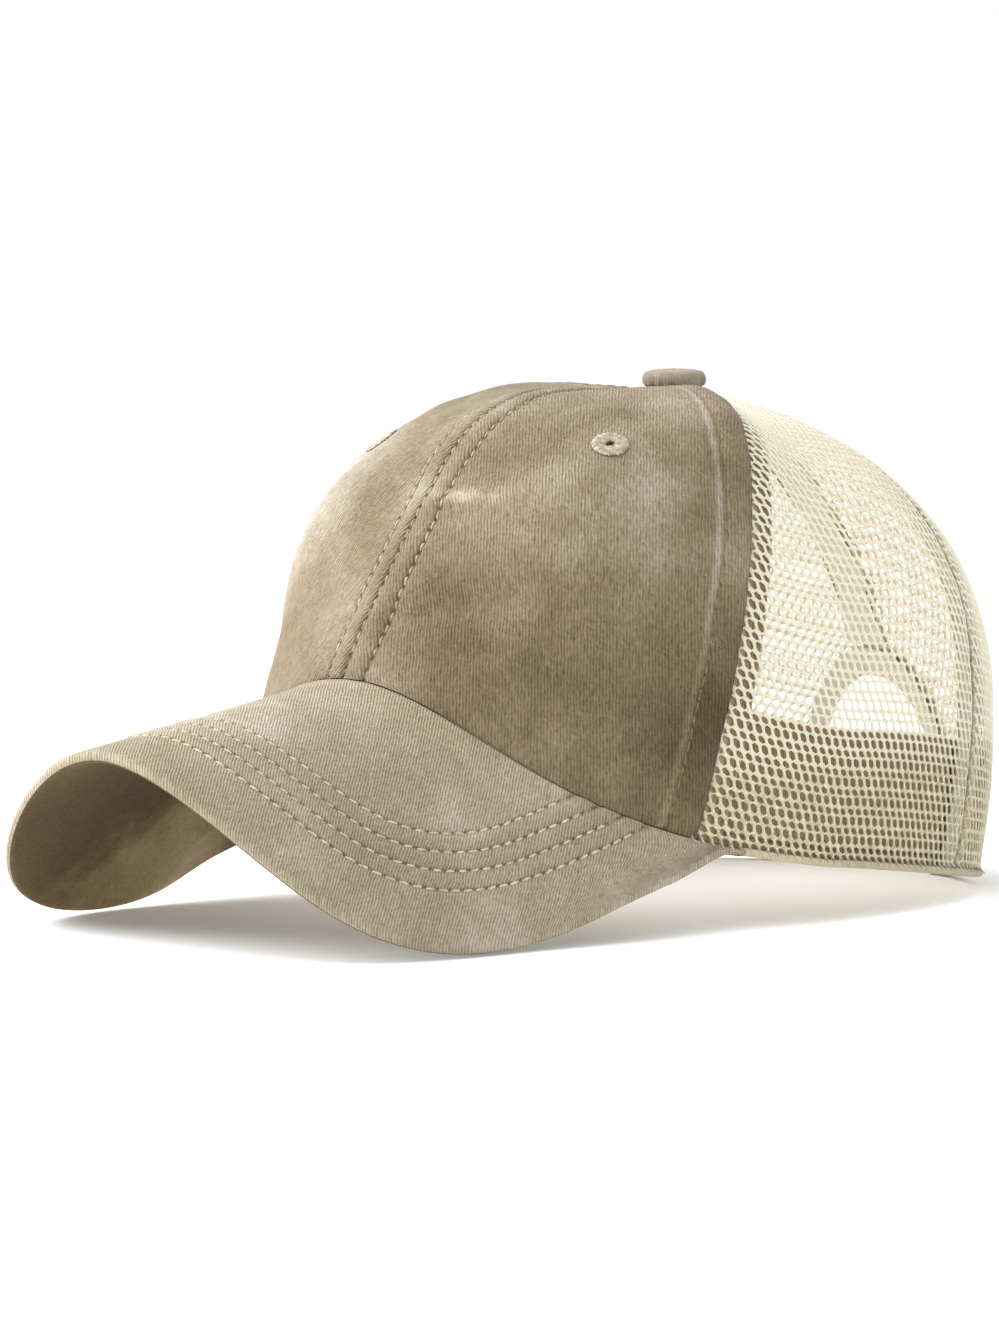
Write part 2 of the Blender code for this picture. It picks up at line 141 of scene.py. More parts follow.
# %% The crown's form
CROWN_HALF_WIDTH = 0.0775
CROWN_FRONT_LENGTH = 0.088
CROWN_BACK_LENGTH = 0.107
CROWN_HEIGHT = 0.1255
CROWN_TOP_SHIFT = 0.028
CROWN_BOW = 0.004
PANEL_FULLNESS = 0.0083
RIM_FRONT_HEIGHT = 0.0588
RIM_BACK_HEIGHT = 0.0023
RIM_ANGLES = (0, 20, 40, 60, 85, 125, 180)
RIM_SHARES = (1.0, 0.87, 0.60, 0.39, 0.25, 0.095, 0.0)
FRONT_SQUARENESS = 2.11
BACK_SQUARENESS = 2.28
# The wall's form in front, at the side and at the back
WALL_CLIMB = (1.10, 0.78, 0.55)
WALL_ROOF = (0.70, 0.45, 0.37)
WALL_LEAN = (-0.02, -0.04, -0.10)
# Where the panels are full: angle, rise, spread round and up, share of the fullness
FULL_PLACES = (
    (40, 0.28, 24, 0.20, 1.00),
    (0, 0.25, 18, 0.20, -0.30),
    (45, 0.72, 30, 0.16, 0.43),
    (90, 0.40, 30, 0.25, 0.50),
    (140, 0.35, 30, 0.25, 0.68),
    (60, 0.50, 20, 0.20, 0.97),
)
FRONT_SEAM = 63.0
BACK_SEAM = 118.0
BACK = 180.0
TABLE_TILT = math.radians(0.32054)
TABLE_SHIFT = np.array([0.0, 0.0277937, -0.0007013])


def spline(knots, values, at):
    """The smooth cubic curve through a few values, level at both ends."""
    knots, values = np.asarray(knots, float), np.asarray(values, float)
    steps = np.diff(knots)
    climbs = np.diff(values) / steps
    count = len(knots)
    system, wanted = np.eye(count), np.zeros(count)
    for place in range(1, count - 1):
        before, after = steps[place - 1], steps[place]
        system[place, place - 1:place + 2] = after, 2 * (before + after), before
        wanted[place] = 3 * (climbs[place - 1] * after + climbs[place] * before)
    slopes = np.linalg.solve(system, wanted)
    at = np.clip(at, knots[0], knots[-1])
    left = np.clip(np.searchsorted(knots, at, side="right") - 1, 0, count - 2)
    step = steps[left]
    share = (at - knots[left]) / step
    return (values[left] * (1 + 2 * share) * (1 - share) ** 2
            + values[left + 1] * share ** 2 * (3 - 2 * share)
            + slopes[left] * step * share * (1 - share) ** 2
            - slopes[left + 1] * step * share ** 2 * (1 - share))


def mixed(values, angle):
    """A value that goes smoothly from front to side to back."""
    forward = np.cos(np.radians(angle))
    front, back = np.clip(forward, 0, 1) ** 2, np.clip(-forward, 0, 1) ** 2
    return values[0] * front + values[2] * back + values[1] * (1 - front - back)


def crown_point(angle, rise):
    """A point of the crown's outer face: angle in degrees, rise 0 at the rim and 1 at the top."""
    angle, rise = np.broadcast_arrays(np.asarray(angle, float), np.asarray(rise, float))
    turn = np.radians(angle)
    forward, sideways = np.cos(turn), np.sin(turn)
    length = np.where(forward > 0, CROWN_FRONT_LENGTH, CROWN_BACK_LENGTH)
    power = 2 / np.where(forward > 0, FRONT_SQUARENESS, BACK_SQUARENESS)
    x = CROWN_HALF_WIDTH * np.sign(sideways) * np.abs(sideways) ** power
    y = -length * np.sign(forward) * np.abs(forward) ** power
    start, low, high = (1 - rise) ** 3, 3 * rise * (1 - rise) ** 2, 3 * rise ** 2 * (1 - rise)
    width = start + low * (1 + mixed(WALL_LEAN, angle)) + high * mixed(WALL_ROOF, angle)
    climb = low * mixed(WALL_CLIMB, angle) + high + rise ** 3
    round_back = np.abs((angle + BACK) % 360.0 - BACK)
    share = spline(RIM_ANGLES, RIM_SHARES, round_back)
    rim = RIM_BACK_HEIGHT + (RIM_FRONT_HEIGHT - RIM_BACK_HEIGHT) * share
    point = np.stack([
        x * width,
        y * width + CROWN_TOP_SHIFT * climb + CROWN_BOW * 4 * climb * (1 - climb),
        rim + (CROWN_HEIGHT - rim) * climb,
    ], -1)
    tip = rise * math.pi / 2
    outward = np.stack([sideways * np.cos(tip), -forward * np.cos(tip), np.sin(tip)], -1)
    fullness = np.zeros(angle.shape)
    for place, height, spread, depth, share in FULL_PLACES:
        for side in sorted({place, -place}):
            away = (angle - side + BACK) % 360.0 - BACK
            fullness += share * np.exp(-(away / spread) ** 2 - ((rise - height) / depth) ** 2)
    return point + outward * (PANEL_FULLNESS * fullness)[..., None]


def crown_outward(angle, rise):
    """The direction out of the crown, kept level along the rim."""
    angle, rise = np.broadcast_arrays(np.asarray(angle, float), np.asarray(rise, float))
    around = crown_point(angle + 0.2, rise) - crown_point(angle - 0.2, rise)
    upper = np.minimum(rise + 0.002, 1.0)
    lower = np.maximum(upper - 0.004, 0.0)
    out = np.cross(around, crown_point(angle, upper) - crown_point(angle, lower))
    out = out / np.linalg.norm(out, axis=-1, keepdims=True)
    out[..., 2] *= np.clip(rise / 0.12, 0, 1)
    return out / np.linalg.norm(out, axis=-1, keepdims=True)


def crown_layer(angle, rise, depth):
    """A point at a depth inside the crown's outer face; a negative depth stands proud of it."""
    return crown_point(angle, rise) - crown_outward(angle, rise) * np.asarray(depth)[..., None]


def turned(vectors):
    """Directions of the pattern, tilted as the cap stands on the table."""
    x, y, z = np.moveaxis(np.asarray(vectors), -1, 0)
    across, up = math.cos(TABLE_TILT), math.sin(TABLE_TILT)
    return np.stack([x, y * across + z * up, z * across - y * up], -1)


def placed(points):
    """Points of the pattern, tilted and shifted to where the cap stands."""
    return turned(points) + TABLE_SHIFT


print("top of the crown in mm:", np.round(1000 * placed(crown_point(0, 1)), 1))

# %% [markdown]
# A stitch row runs 8 mm from its fold whatever the curve does, so these helpers turn a length
# along the wall into an angle or a rise.

# %% Lengths along the wall


def run_of(points, axis=0):
    """The length run along a line of points, from its start to each point."""
    steps = np.diff(points, axis=axis, prepend=np.take(points, [0], axis=axis))
    return np.cumsum(np.linalg.norm(steps, axis=-1), axis=axis)


def degrees_for(length, angle, rise):
    """The angle that a length along the crown's wall covers."""
    arc = np.linalg.norm(crown_point(angle + 0.5, rise) - crown_point(angle - 0.5, rise), axis=-1)
    return length / np.maximum(arc, 1e-6)


def rise_for(length, angle):
    """The rise at a length up the wall from the rim."""
    rises = np.linspace(0, 1, 201)
    return float(np.interp(length, run_of(crown_point(angle, rises)), rises))


print("a seam in front is", round(float(run_of(crown_point(0, np.linspace(0, 1, 90)))[-1]), 3), "m long")

# %% [markdown]
# Modelling by hand starts from a primitive. Cloth starts as a flat grid, whose corners are laid on
# the form before it gets its thickness.

# %% Helpers for modelling


def take_up(piece):
    """Makes one piece the only selected and active one."""
    bpy.ops.object.select_all(action="DESELECT")
    piece.select_set(True)
    bpy.context.view_layer.objects.active = piece


def corners(piece):
    flat = np.empty(len(piece.data.vertices) * 3)
    piece.data.vertices.foreach_get("co", flat)
    return flat.reshape(-1, 3)


def set_corners(piece, points):
    piece.data.vertices.foreach_set("co", np.asarray(points, float).ravel())
    piece.data.update()


def apply_modifier(piece, kind, **settings):
    """Adds a modifier with its settings and applies it."""
    take_up(piece)
    modifier = piece.modifiers.new(kind.lower(), kind)
    for name, value in settings.items():
        setattr(modifier, name, value)
    bpy.ops.object.modifier_apply(modifier=modifier.name)


def edit(piece, *steps, chosen=None, kind="VERT"):
    """Runs edit-mode operators, with their settings, on all of a piece or on its chosen parts."""
    take_up(piece)
    bpy.ops.object.mode_set(mode="EDIT")
    if chosen is None:
        bpy.ops.mesh.select_all(action="SELECT")
    else:
        bpy.ops.mesh.select_mode(type=kind)
        bpy.ops.mesh.select_all(action="DESELECT")
        bpy.ops.object.mode_set(mode="OBJECT")
        parts = {"VERT": piece.data.vertices, "EDGE": piece.data.edges, "FACE": piece.data.polygons}[kind]
        parts.foreach_set("select", chosen)
        bpy.ops.object.mode_set(mode="EDIT")
    for operator, settings in steps:
        operator(**settings)
    bpy.ops.object.mode_set(mode="OBJECT")


def cut_cloth(name, points, across=None, along=None, inside_out=False):
    """A flat grid cut to rows and columns, laid on an array of points. Returns it and its cells.

    Its UV map holds the cloth's own lengths in metres, so that a weave follows the cloth.
    """
    rows, columns = points.shape[0] - 1, points.shape[1] - 1
    piece = primitive(bpy.ops.mesh.primitive_grid_add, name, size=1,
                      x_subdivisions=columns, y_subdivisions=rows)
    flat = corners(piece)[:, 1::-1] + 0.5
    cells = tuple(np.rint(flat * (rows, columns)).astype(int).T)
    set_corners(piece, placed(points)[cells])
    if inside_out:
        edit(piece, (bpy.ops.mesh.flip_normals, {}))
    across = run_of(points, axis=1) if across is None else across
    along = run_of(points) if along is None else along
    corner_of_loop = np.empty(len(piece.data.loops), int)
    piece.data.loops.foreach_get("vertex_index", corner_of_loop)
    lengths = np.stack([across[cells], along[cells]], -1)[corner_of_loop]
    piece.data.uv_layers[0].uv.foreach_set("vector", lengths.ravel())
    return piece, cells


def note(piece, cells, **numbers):
    """Writes numbers for each corner, such as its distance from a seam, for the materials."""
    for name, values in numbers.items():
        piece.data.attributes.new(name, "FLOAT", "POINT").data.foreach_set("value", values[cells])


def thicken(piece, thickness, edge):
    """Gives a sheet its thickness inwards and rounds its cut edges."""
    apply_modifier(piece, "SOLIDIFY", thickness=thickness, offset=-1.0, use_even_offset=False)
    apply_modifier(piece, "BEVEL", width=edge, segments=2, limit_method="ANGLE",
                   angle_limit=math.radians(55))
    piece.data.shade_smooth()


def dress(piece, material, slot, *nodes):
    """Gives a piece its material and its body, and hides the solids it stands for. The slot is not used."""
    piece.data.materials.clear()
    piece.data.materials.append(material)
    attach(piece, "root")
    if nodes:
        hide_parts(*nodes)
    print(piece.name, "triangles:", sum(len(face.vertices) - 2 for face in piece.data.polygons))


def ripple(points, size, seed):
    """Smooth random numbers from -1 to 1 over a grid of points, with bumps of about that size."""
    shift = Vector((seed * 7.3, seed * 3.1, seed * 5.7))
    values = [noise.noise(Vector(point) / size + shift) for point in points.reshape(-1, 3)]
    return np.array(values).reshape(points.shape[:-1])


def bell(distance, width):
    return np.exp(-(distance / width) ** 2)


def quilted(distance, lines, swell):
    """Cloth sewn down along lines at some distances swells between them."""
    height = np.zeros_like(distance)
    for near, far in zip(lines, lines[1:]):
        share = np.clip((distance - near) / (far - near), 0, 1)
        height += swell * np.sin(np.pi * share) ** 0.7
    return height


print("helpers ready")

# %% [markdown]
# The finishes are procedural. What several share is a node group, which puts out only colours,
# masks and heights; each material keeps its own shader.

# %% Helpers for materials


def shade(red, green, blue):
    """A colour given as on a screen, from 0 to 255, as the linear numbers that shaders use."""
    screen = np.array([red, green, blue]) / 255
    linear = np.where(screen < 0.04045, screen / 12.92, ((screen + 0.055) / 1.055) ** 2.4)
    return (*linear, 1.0)


def source(tree, kind, **settings):
    """Adds a node with its settings to a tree."""
    made = tree.nodes.new("ShaderNode" + kind)
    for name, value in settings.items():
        setattr(made, name, value)
    return made


def add(kind, inputs, **settings):
    """Adds a node beside its source; an input is a number, a colour or another node's output."""
    tree = next(value.id_data for value in inputs.values() if isinstance(value, bpy.types.NodeSocket))
    made = source(tree, kind, **settings)
    for socket, value in inputs.items():
        if isinstance(value, bpy.types.NodeSocket):
            tree.links.new(value, made.inputs[socket])
        else:
            made.inputs[socket].default_value = value
    return made.outputs


def maths(operation, *values):
    return add("Math", dict(enumerate(values)), operation=operation)[0]


def times(first, second, more=0.0):
    """One value times another, plus a third."""
    return maths("MULTIPLY_ADD", first, second, more)


def blend(factor, first, second, way="MIX"):
    return add("Mix", {0: factor, 6: first, 7: second}, data_type="RGBA", blend_type=way)[2]


def band_of(value, start, end):
    """0 at one value, 1 at another, smooth between."""
    return add("MapRange", {0: value, 1: start, 2: end}, interpolation_type="SMOOTHSTEP")[0]


def cloud(place, scale, detail=3.0, stretch=(1, 1, 1), roughness=0.5):
    """Random cloud from 0 to 1, which may be stretched along an axis."""
    mapped = add("Mapping", {"Vector": place, "Scale": stretch})[0]
    inputs = {"Vector": mapped, "Scale": scale, "Detail": detail, "Roughness": roughness}
    return add("TexNoise", inputs)["Fac"]


def new_group(name, inputs, outputs):
    """An empty node group with named inputs and outputs."""
    tree = bpy.data.node_groups.new(name, "ShaderNodeTree")
    for way, sockets in (("INPUT", inputs), ("OUTPUT", outputs)):
        for label, kind in sockets.items():
            tree.interface.new_socket(name=label, in_out=way, socket_type="NodeSocket" + kind)
    return tree, tree.nodes.new("NodeGroupInput").outputs, tree.nodes.new("NodeGroupOutput").inputs


def new_material(name):
    """A new material with its tree and its shader."""
    material = bpy.data.materials.new(name)
    material.use_nodes = True
    return material, material.node_tree, material.node_tree.nodes["Principled BSDF"]


print("material helpers ready")

# %% [markdown]
# Twill's threads cross in fine slanting ribs, and uneven yarns, or slubs, show as short streaks.

# %% Group: twill weave
twill_group, ins, outs = new_group(
    "Twill weave",
    {"Cloth": "Vector", "Ribs per metre": "Float", "Slant": "Float", "Rib": "Float", "Slub": "Float"},
    {"Height": "Float", "Tone": "Float"})
part = add("SeparateXYZ", {0: ins["Cloth"]})
wobble = cloud(ins["Cloth"], 260.0, 2.0)
turns = times(times(part["Y"], ins["Slant"], part["X"]), ins["Ribs per metre"], wobble)
rib = times(maths("SINE", times(turns, 2 * math.pi)), 0.5, 0.5)
warp = cloud(ins["Cloth"], 1.0, 2.0, stretch=(1900, 380, 1), roughness=0.7)
weft = cloud(ins["Cloth"], 1.0, 2.0, stretch=(800, 1700, 1), roughness=0.6)
uneven = times(times(warp, 0.65, times(weft, 0.35, -0.5)), ins["Slub"])
ribbed = times(rib, times(ins["Rib"], 3.0))
twill_group.links.new(times(uneven, 3.0, ribbed), outs["Height"])
tone = times(times(rib, 1.0, -0.5), ins["Rib"], times(uneven, 1.0, 0.5))
twill_group.links.new(tone, outs["Tone"])

# %% [markdown]
# Washing takes dye out in clouds of two sizes, from deep to faded. The weave's tone lies over them.

# %% Group: garment wash
wash_group, ins, outs = new_group(
    "Garment wash",
    {"Place": "Vector", "Deep": "Color", "Middle": "Color", "Faded": "Color", "Cloud size": "Float",
     "Tone": "Float", "Fading and painted shading": "Float"},
    {"Colour": "Color"})
scale = maths("DIVIDE", 1.0, ins["Cloud size"])
large = cloud(ins["Place"], scale)
small = cloud(ins["Place"], times(scale, 4.3))
# The fading input carries wear, and also the painted light and shade of some soft places
worn_and_painted_shading = times(small, 0.20, times(large, 0.55, times(ins["Fading and painted shading"], 1.0, 0.175)))
ground = blend(band_of(worn_and_painted_shading, 0.10, 0.75), ins["Deep"], ins["Middle"])
ground = blend(band_of(worn_and_painted_shading, 0.52, 1.15), ground, ins["Faded"])
grey = add("CombineColor", dict.fromkeys(range(3), ins["Tone"]))[0]
wash_group.links.new(blend(0.75, ground, grey, "SOFT_LIGHT"), outs["Colour"])

# %% [markdown]
# A soft place is a round mask for a patch that is paler or deeper than its surroundings. It marks patches
# that rubbed more or less, and also patches of painted light and shade. Its edge is broken up, so that it
# has no hard rim.

# %% Group: soft place
place_group, ins, outs = new_group(
    "Soft place", {"Place": "Vector", "Centre": "Vector", "Reach": "Vector"}, {"Mask": "Float"})
away = add("VectorMath", {0: ins["Place"], 1: ins["Centre"]}, operation="SUBTRACT")[0]
away = add("VectorMath", {0: away, 1: ins["Reach"]}, operation="DIVIDE")[0]
far = add("VectorMath", {0: away}, operation="LENGTH")["Value"]
far = times(cloud(ins["Place"], 90.0), 0.7, far)
place_group.links.new(band_of(far, 1.75, 0.25), outs["Mask"])

# %% [markdown]
# A sewn line pulls the cloth down. Its dimples are painted as shade: a dark mark where the needle went in
# and a faint painted shadow beside the line. The cloth carries its distance from the nearest line and the
# length run along it.

# %% Group: sewn line
sewn_group, ins, outs = new_group(
    "Sewn line", {"Gap": "Float", "Run": "Float", "Pitch": "Float"}, {"Shadow": "Float"})
turn = times(maths("DIVIDE", ins["Run"], ins["Pitch"]), 2 * math.pi)
needle = band_of(maths("COSINE", turn), -0.3, 0.8)
# Painted shade at each needle hole, and a fainter painted shadow along the line
hole = times(times(needle, band_of(ins["Gap"], 0.0006, 0.0002)), 0.60)
sewn_group.links.new(times(band_of(ins["Gap"], 0.0013, 0.0002), 0.20, hole), outs["Shadow"])
print("groups:", [group.name for group in bpy.data.node_groups])

# %% [markdown]
# One function makes every cotton. They differ in colour, weave and wear, and some carry painted light and
# shade in soft places. Bump comes from the weave, a fine fuzz and the sewn lines, which also paint shade
# into the colour, and a little sheen makes the edges pale.

# %% Cotton finish
# The colour that the sewn lines' painted shade darkens towards
NEEDLE_SHADE_COLOUR = (0.30, 0.25, 0.19, 1)
SHEEN_TINT = (1.0, 0.98, 0.95, 1.0)


def cotton(name, *colours, ribs=1300, slant=0.0, rib=0.3, slub=0.3, cloud_size=0.05, fading_and_painted_shading=0.0,
           places=(), sewn=None, worn_edge=None, wear=0.1, bump=0.00022, sheen=0.15):
    """A washed cotton in a deep, a middle and a faded colour; places are centre, reach and strength, and
    some paint light or shade.
    """
    deep, middle, faded = (shade(*colour) for colour in colours)
    material, tree, shader = new_material(name)
    place = source(tree, "TexCoord").outputs["Object"]
    cloth = source(tree, "UVMap", uv_map="UVMap").outputs[0]
    noted = {label: source(tree, "Attribute", attribute_name=label).outputs["Fac"]
             for label in ("edge_gap", "row_gap", "row_run")}
    weave = add("Group", {
        "Cloth": cloth, "Ribs per metre": ribs, "Slant": slant, "Rib": rib, "Slub": slub},
        node_tree=twill_group)
    # Soft places fade or deepen the cloth: some are rubbed patches, some are painted light and shade
    for centre, reach, strength in places:
        spot = {"Place": place, "Centre": centre, "Reach": reach}
        fading_and_painted_shading = times(add("Group", spot, node_tree=place_group)["Mask"], strength, fading_and_painted_shading)
    if worn_edge:
        rubbed = times(cloud(place, 160.0), -worn_edge, noted["edge_gap"])
        fading_and_painted_shading = times(band_of(rubbed, 1.1 * worn_edge, -0.2 * worn_edge), wear, fading_and_painted_shading)
    specks = times(cloud(place, 850.0, roughness=0.6), 1.0, -0.5)
    colour = add("Group", {
        "Place": place, "Deep": deep, "Middle": middle, "Faded": faded, "Cloud size": cloud_size,
        "Tone": times(specks, 0.7, weave["Tone"]), "Fading and painted shading": fading_and_painted_shading}, node_tree=wash_group)["Colour"]
    fuzz = cloud(place, 2600.0, 2.0)
    height = times(fuzz, 0.8, weave["Height"])
    if sewn:
        stitch_dip_and_shade = add("Group", {"Gap": noted["row_gap"], "Run": noted["row_run"], "Pitch": sewn},
                   node_tree=sewn_group)["Shadow"]
        # Painted shade at the needle holes and beside the sewn lines; the same mask dips the bump
        colour = blend(stitch_dip_and_shade, colour, blend(1.0, colour, NEEDLE_SHADE_COLOUR, "MULTIPLY"))
        height = times(stitch_dip_and_shade, -2.0, height)
    tree.links.new(colour, shader.inputs["Base Color"])
    tree.links.new(times(fuzz, 0.16, 0.80), shader.inputs["Roughness"])
    normal = add("Bump", {"Height": height, "Strength": 0.7, "Distance": bump})["Normal"]
    tree.links.new(normal, shader.inputs["Normal"])
    settle(shader, {"Specular IOR Level": 0.25, "Sheen Weight": sheen, "Sheen Roughness": 0.45,
                    "Sheen Tint": SHEEN_TINT})
    return material


STITCH_PITCH = 0.0032
PEAK_PITCH = 0.0034
# Where the front is paler or deeper: angle and rise, reach, and how much it fades. Most are patches that
# rubbed pale or stayed deep; two are painted light and shade
FRONT_SPOTS = (
    (10, 0.27, (0.011, 0.010, 0.0022), 0.24),
    (-3, 0.27, (0.007, 0.010, 0.0060), 0.16),
    (50, 0.58, (0.012, 0.014, 0.008), 0.16),
    (46, 0.36, (0.010, 0.012, 0.010), 0.12),
    # Painted shade low on the left panel, which turns away from the left lamp
    (60, 0.10, (0.040, 0.040, 0.034), -0.29),
    (16, 0.09, (0.026, 0.022, 0.022), -0.20),
    (36, 0.27, (0.024, 0.024, 0.024), 0.13),
    (13, 0.37, (0.016, 0.016, 0.011), -0.18),
    # Painted light on the right panel, which faces the left lamp
    (-44, 0.30, (0.034, 0.034, 0.034), 0.28),
)
# The same for the peak's top, by a point of the pattern
PEAK_SPOTS = (
    ((-0.030, -0.125, 0.036), (0.045, 0.035, 0.030), 0.33),
    ((0.022, -0.098, 0.024), (0.030, 0.014, 0.016), 0.30),
)
# Painted light and shade on the peak's underside, by a point of the pattern: one paler place and one deeper
# place
UNDER_PAINTED_LIGHT_AND_SHADE = (
    ((-0.070, -0.095, 0.012), (0.030, 0.035, 0.030), 0.80),
    ((-0.045, -0.150, 0.030), (0.030, 0.030, 0.030), -0.15),
)


def placed_spots(spots):
    return [(placed(np.array(centre)), reach, strength) for centre, reach, strength in spots]


front_cotton = cotton(
    "washed front twill", (70, 55, 31), (126, 111, 86), (183, 178, 169), ribs=1350, rib=0.32, slub=1.5,
    cloud_size=0.034, fading_and_painted_shading=0.02, sewn=STITCH_PITCH, worn_edge=0.0010, wear=0.16,
    places=placed_spots((crown_point(angle, rise), *rest) for angle, rise, *rest in FRONT_SPOTS))
peak_cotton = cotton(
    "washed peak twill", (114, 101, 77), (151, 139, 117), (203, 202, 194), ribs=1050, slant=0.9, rib=0.45,
    slub=1.1, cloud_size=0.030, sewn=PEAK_PITCH, worn_edge=0.0014, wear=0.04,
    places=placed_spots(PEAK_SPOTS))
under_cotton = cotton(
    "peak lining twill", (64, 47, 18), (92, 73, 40), (170, 150, 112), ribs=1150, slant=-0.9, slub=0.8,
    cloud_size=0.040, sheen=0.05, places=placed_spots(UNDER_PAINTED_LIGHT_AND_SHADE))
button_cotton = cotton(
    "button twill", (142, 127, 104), (184, 171, 150), (222, 215, 202),
    ribs=1400, slant=0.8, slub=0.5, cloud_size=0.010)
band_cotton = cotton(
    "sweatband twill", (146, 126, 88), (170, 150, 110), (190, 173, 138), ribs=1500, slant=0.7)
# The back tapes are the seam tape painted paler, as painted light coming through the far net
painted_pale_tape = cotton("back tape", (202, 195, 174), (221, 215, 197), (234, 229, 214))
rim_cotton = cotton("rim tape", (164, 152, 121), (188, 177, 147), (208, 199, 172))
tape_cotton = cotton("seam tape", (134, 115, 78), (160, 141, 102), (188, 170, 134))
strap_cotton = cotton(
    "strap webbing", (140, 121, 88), (170, 152, 120), (196, 182, 152), ribs=900, slub=0.2, bump=0.0004)
print("cotton finishes:", len(bpy.data.materials) - 1)

# %% [markdown]
# A thread shows its twist as slanting lines round it. The net's yarn is painted paler above the sweatband,
# as painted light where light comes through.

# %% Thread and net finish
NET_PAINTED_LIGHT_FROM = 0.031
NET_PAINTED_LIGHT_TO = 0.042


def yarn(name, dark, light, roughness=0.6, twist=3.0, pale=None):
    """A twisted yarn; its UV map runs round it and along it."""
    material, tree, shader = new_material(name)
    place = source(tree, "TexCoord").outputs["Object"]
    uneven = cloud(place, 700.0, 2.0)
    colour = blend(band_of(uneven, 0.3, 0.7), shade(*dark), shade(*light))
    # Painted light: the net is paler above the sweatband, where light shines through it
    if pale:
        level = add("SeparateXYZ", {0: place})["Z"]
        colour = blend(band_of(level, NET_PAINTED_LIGHT_FROM, NET_PAINTED_LIGHT_TO), colour, shade(*pale))
    tree.links.new(colour, shader.inputs["Base Color"])
    height = uneven
    if twist:
        lengths = add("SeparateXYZ", {0: source(tree, "UVMap", uv_map="UVMap").outputs[0]})
        turn = times(lengths["Y"], twist, lengths["X"])
        height = times(maths("SINE", times(turn, 4 * math.pi)), 0.5, uneven)
    normal = add("Bump", {"Height": height, "Strength": 0.6, "Distance": 0.00012})["Normal"]
    tree.links.new(normal, shader.inputs["Normal"])
    tree.links.new(times(uneven, 0.2, roughness), shader.inputs["Roughness"])
    settle(shader, {"Sheen Weight": 0.1})
    return material


cream_thread = yarn("cream thread", (162, 149, 117), (200, 189, 158), 0.55)
tan_thread = yarn("tan thread", (132, 116, 88), (172, 156, 128))
eyelet_yarn = yarn("eyelet thread", (128, 117, 95), (176, 166, 146))
tonal_thread = yarn("brown thread", (104, 86, 56), (140, 121, 88))
net_yarn = yarn("net yarn", (174, 165, 136), (204, 196, 169), 0.5, twist=None, pale=(207, 201, 180))
settle(net_yarn.node_tree.nodes["Principled BSDF"], {
    "Subsurface Weight": 0.75, "Subsurface Radius": (1.0, 1.0, 1.0), "Subsurface Scale": 0.0012})
print("yarns ready")

# %% [markdown]
# One stitch is modelled once: a long bead from a sphere primitive. It is copied along each row, and
# a row's copies are joined to one mesh.

# %% Stitches
bead = primitive(bpy.ops.mesh.primitive_uv_sphere_add, "bead", segments=6, ring_count=6, radius=0.5)
edit(bead, (bpy.ops.transform.rotate,
            {"value": math.pi / 2, "orient_axis": "Y", "center_override": (0, 0, 0)}))
# Blender lists a sphere's corners and faces in another order each run, so they are put in one order
shape, loops, lengths = corners(bead), bead.data.loops, bead.data.uv_layers[0].uv
order = np.lexsort(shape.round(5).T)
rank = np.argsort(order).tolist()
faces = sorted([(rank[loops[index].vertex_index], *lengths[index].vector) for index in face.loop_indices]
               for face in bead.data.polygons)
BEAD = shape[order]
BEAD_FACES = [tuple(corner for corner, *_ in face) for face in faces]
BEAD_LENGTHS = np.array([pair for face in faces for _, *pair in face])
bpy.data.objects.remove(bead)
THREAD_WIDTH = 0.00078
THREAD_HEIGHT = 0.00062
STITCH_SHARE = 0.98
STITCH_SAG = 0.45
FINE = {"width": 0.0005, "height": 0.0004}
rng = np.random.default_rng(11)


def stitches_along(points, outs, pitch=STITCH_PITCH, start=0.0):
    """Middles, directions and outward ways of the stitches along a row."""
    run = run_of(points)
    middles = np.arange(math.ceil(start / pitch) + 0.5, run[-1] / pitch) * pitch

    def at(values, where):
        return np.stack([np.interp(where, run, values[:, axis]) for axis in range(3)], -1)

    along = at(points, middles + pitch / 2) - at(points, middles - pitch / 2)
    along /= np.linalg.norm(along, axis=1, keepdims=True)
    out = at(outs, middles)
    out /= np.linalg.norm(out, axis=1, keepdims=True)
    return at(points, middles), along, out


def sew(name, rows, material, slot, pitch=STITCH_PITCH, width=THREAD_WIDTH, height=THREAD_HEIGHT,
        share=STITCH_SHARE, aside=0.0):
    """Joins the stitches of several rows to one piece; aside shifts the thread off its line."""
    middle, along, out = (np.concatenate(part) for part in zip(*rows))
    middle, along, out = placed(middle), turned(along), turned(out)
    across = np.cross(out, along)
    middle = middle + across * aside
    along = along + across * rng.normal(0.10, 0.07, len(middle))[:, None]
    across = np.cross(out, along)
    long, wide, high = BEAD.T[:, None, :, None]
    length = pitch * share * rng.uniform(0.93, 1.05, (len(middle), 1, 1))
    points = (middle[:, None] + along[:, None] * long * length + across[:, None] * wide * width
              + out[:, None] * (high - STITCH_SAG * (2 * long) ** 2) * height)
    faces = [tuple(corner + len(BEAD) * copy for corner in face)
             for copy in range(len(middle)) for face in BEAD_FACES]
    mesh = bpy.data.meshes.new(name)
    mesh.from_pydata(points.reshape(-1, 3).tolist(), [], faces)
    mesh.uv_layers.new(name="UVMap")
    mesh.uv_layers[0].uv.foreach_set("vector", np.tile(BEAD_LENGTHS, (len(middle), 1)).ravel())
    mesh.shade_smooth()
    piece = bpy.data.objects.new(name, mesh)
    bpy.context.scene.collection.objects.link(piece)
    dress(piece, material, slot)


print("a stitch has", len(BEAD_FACES), "faces")

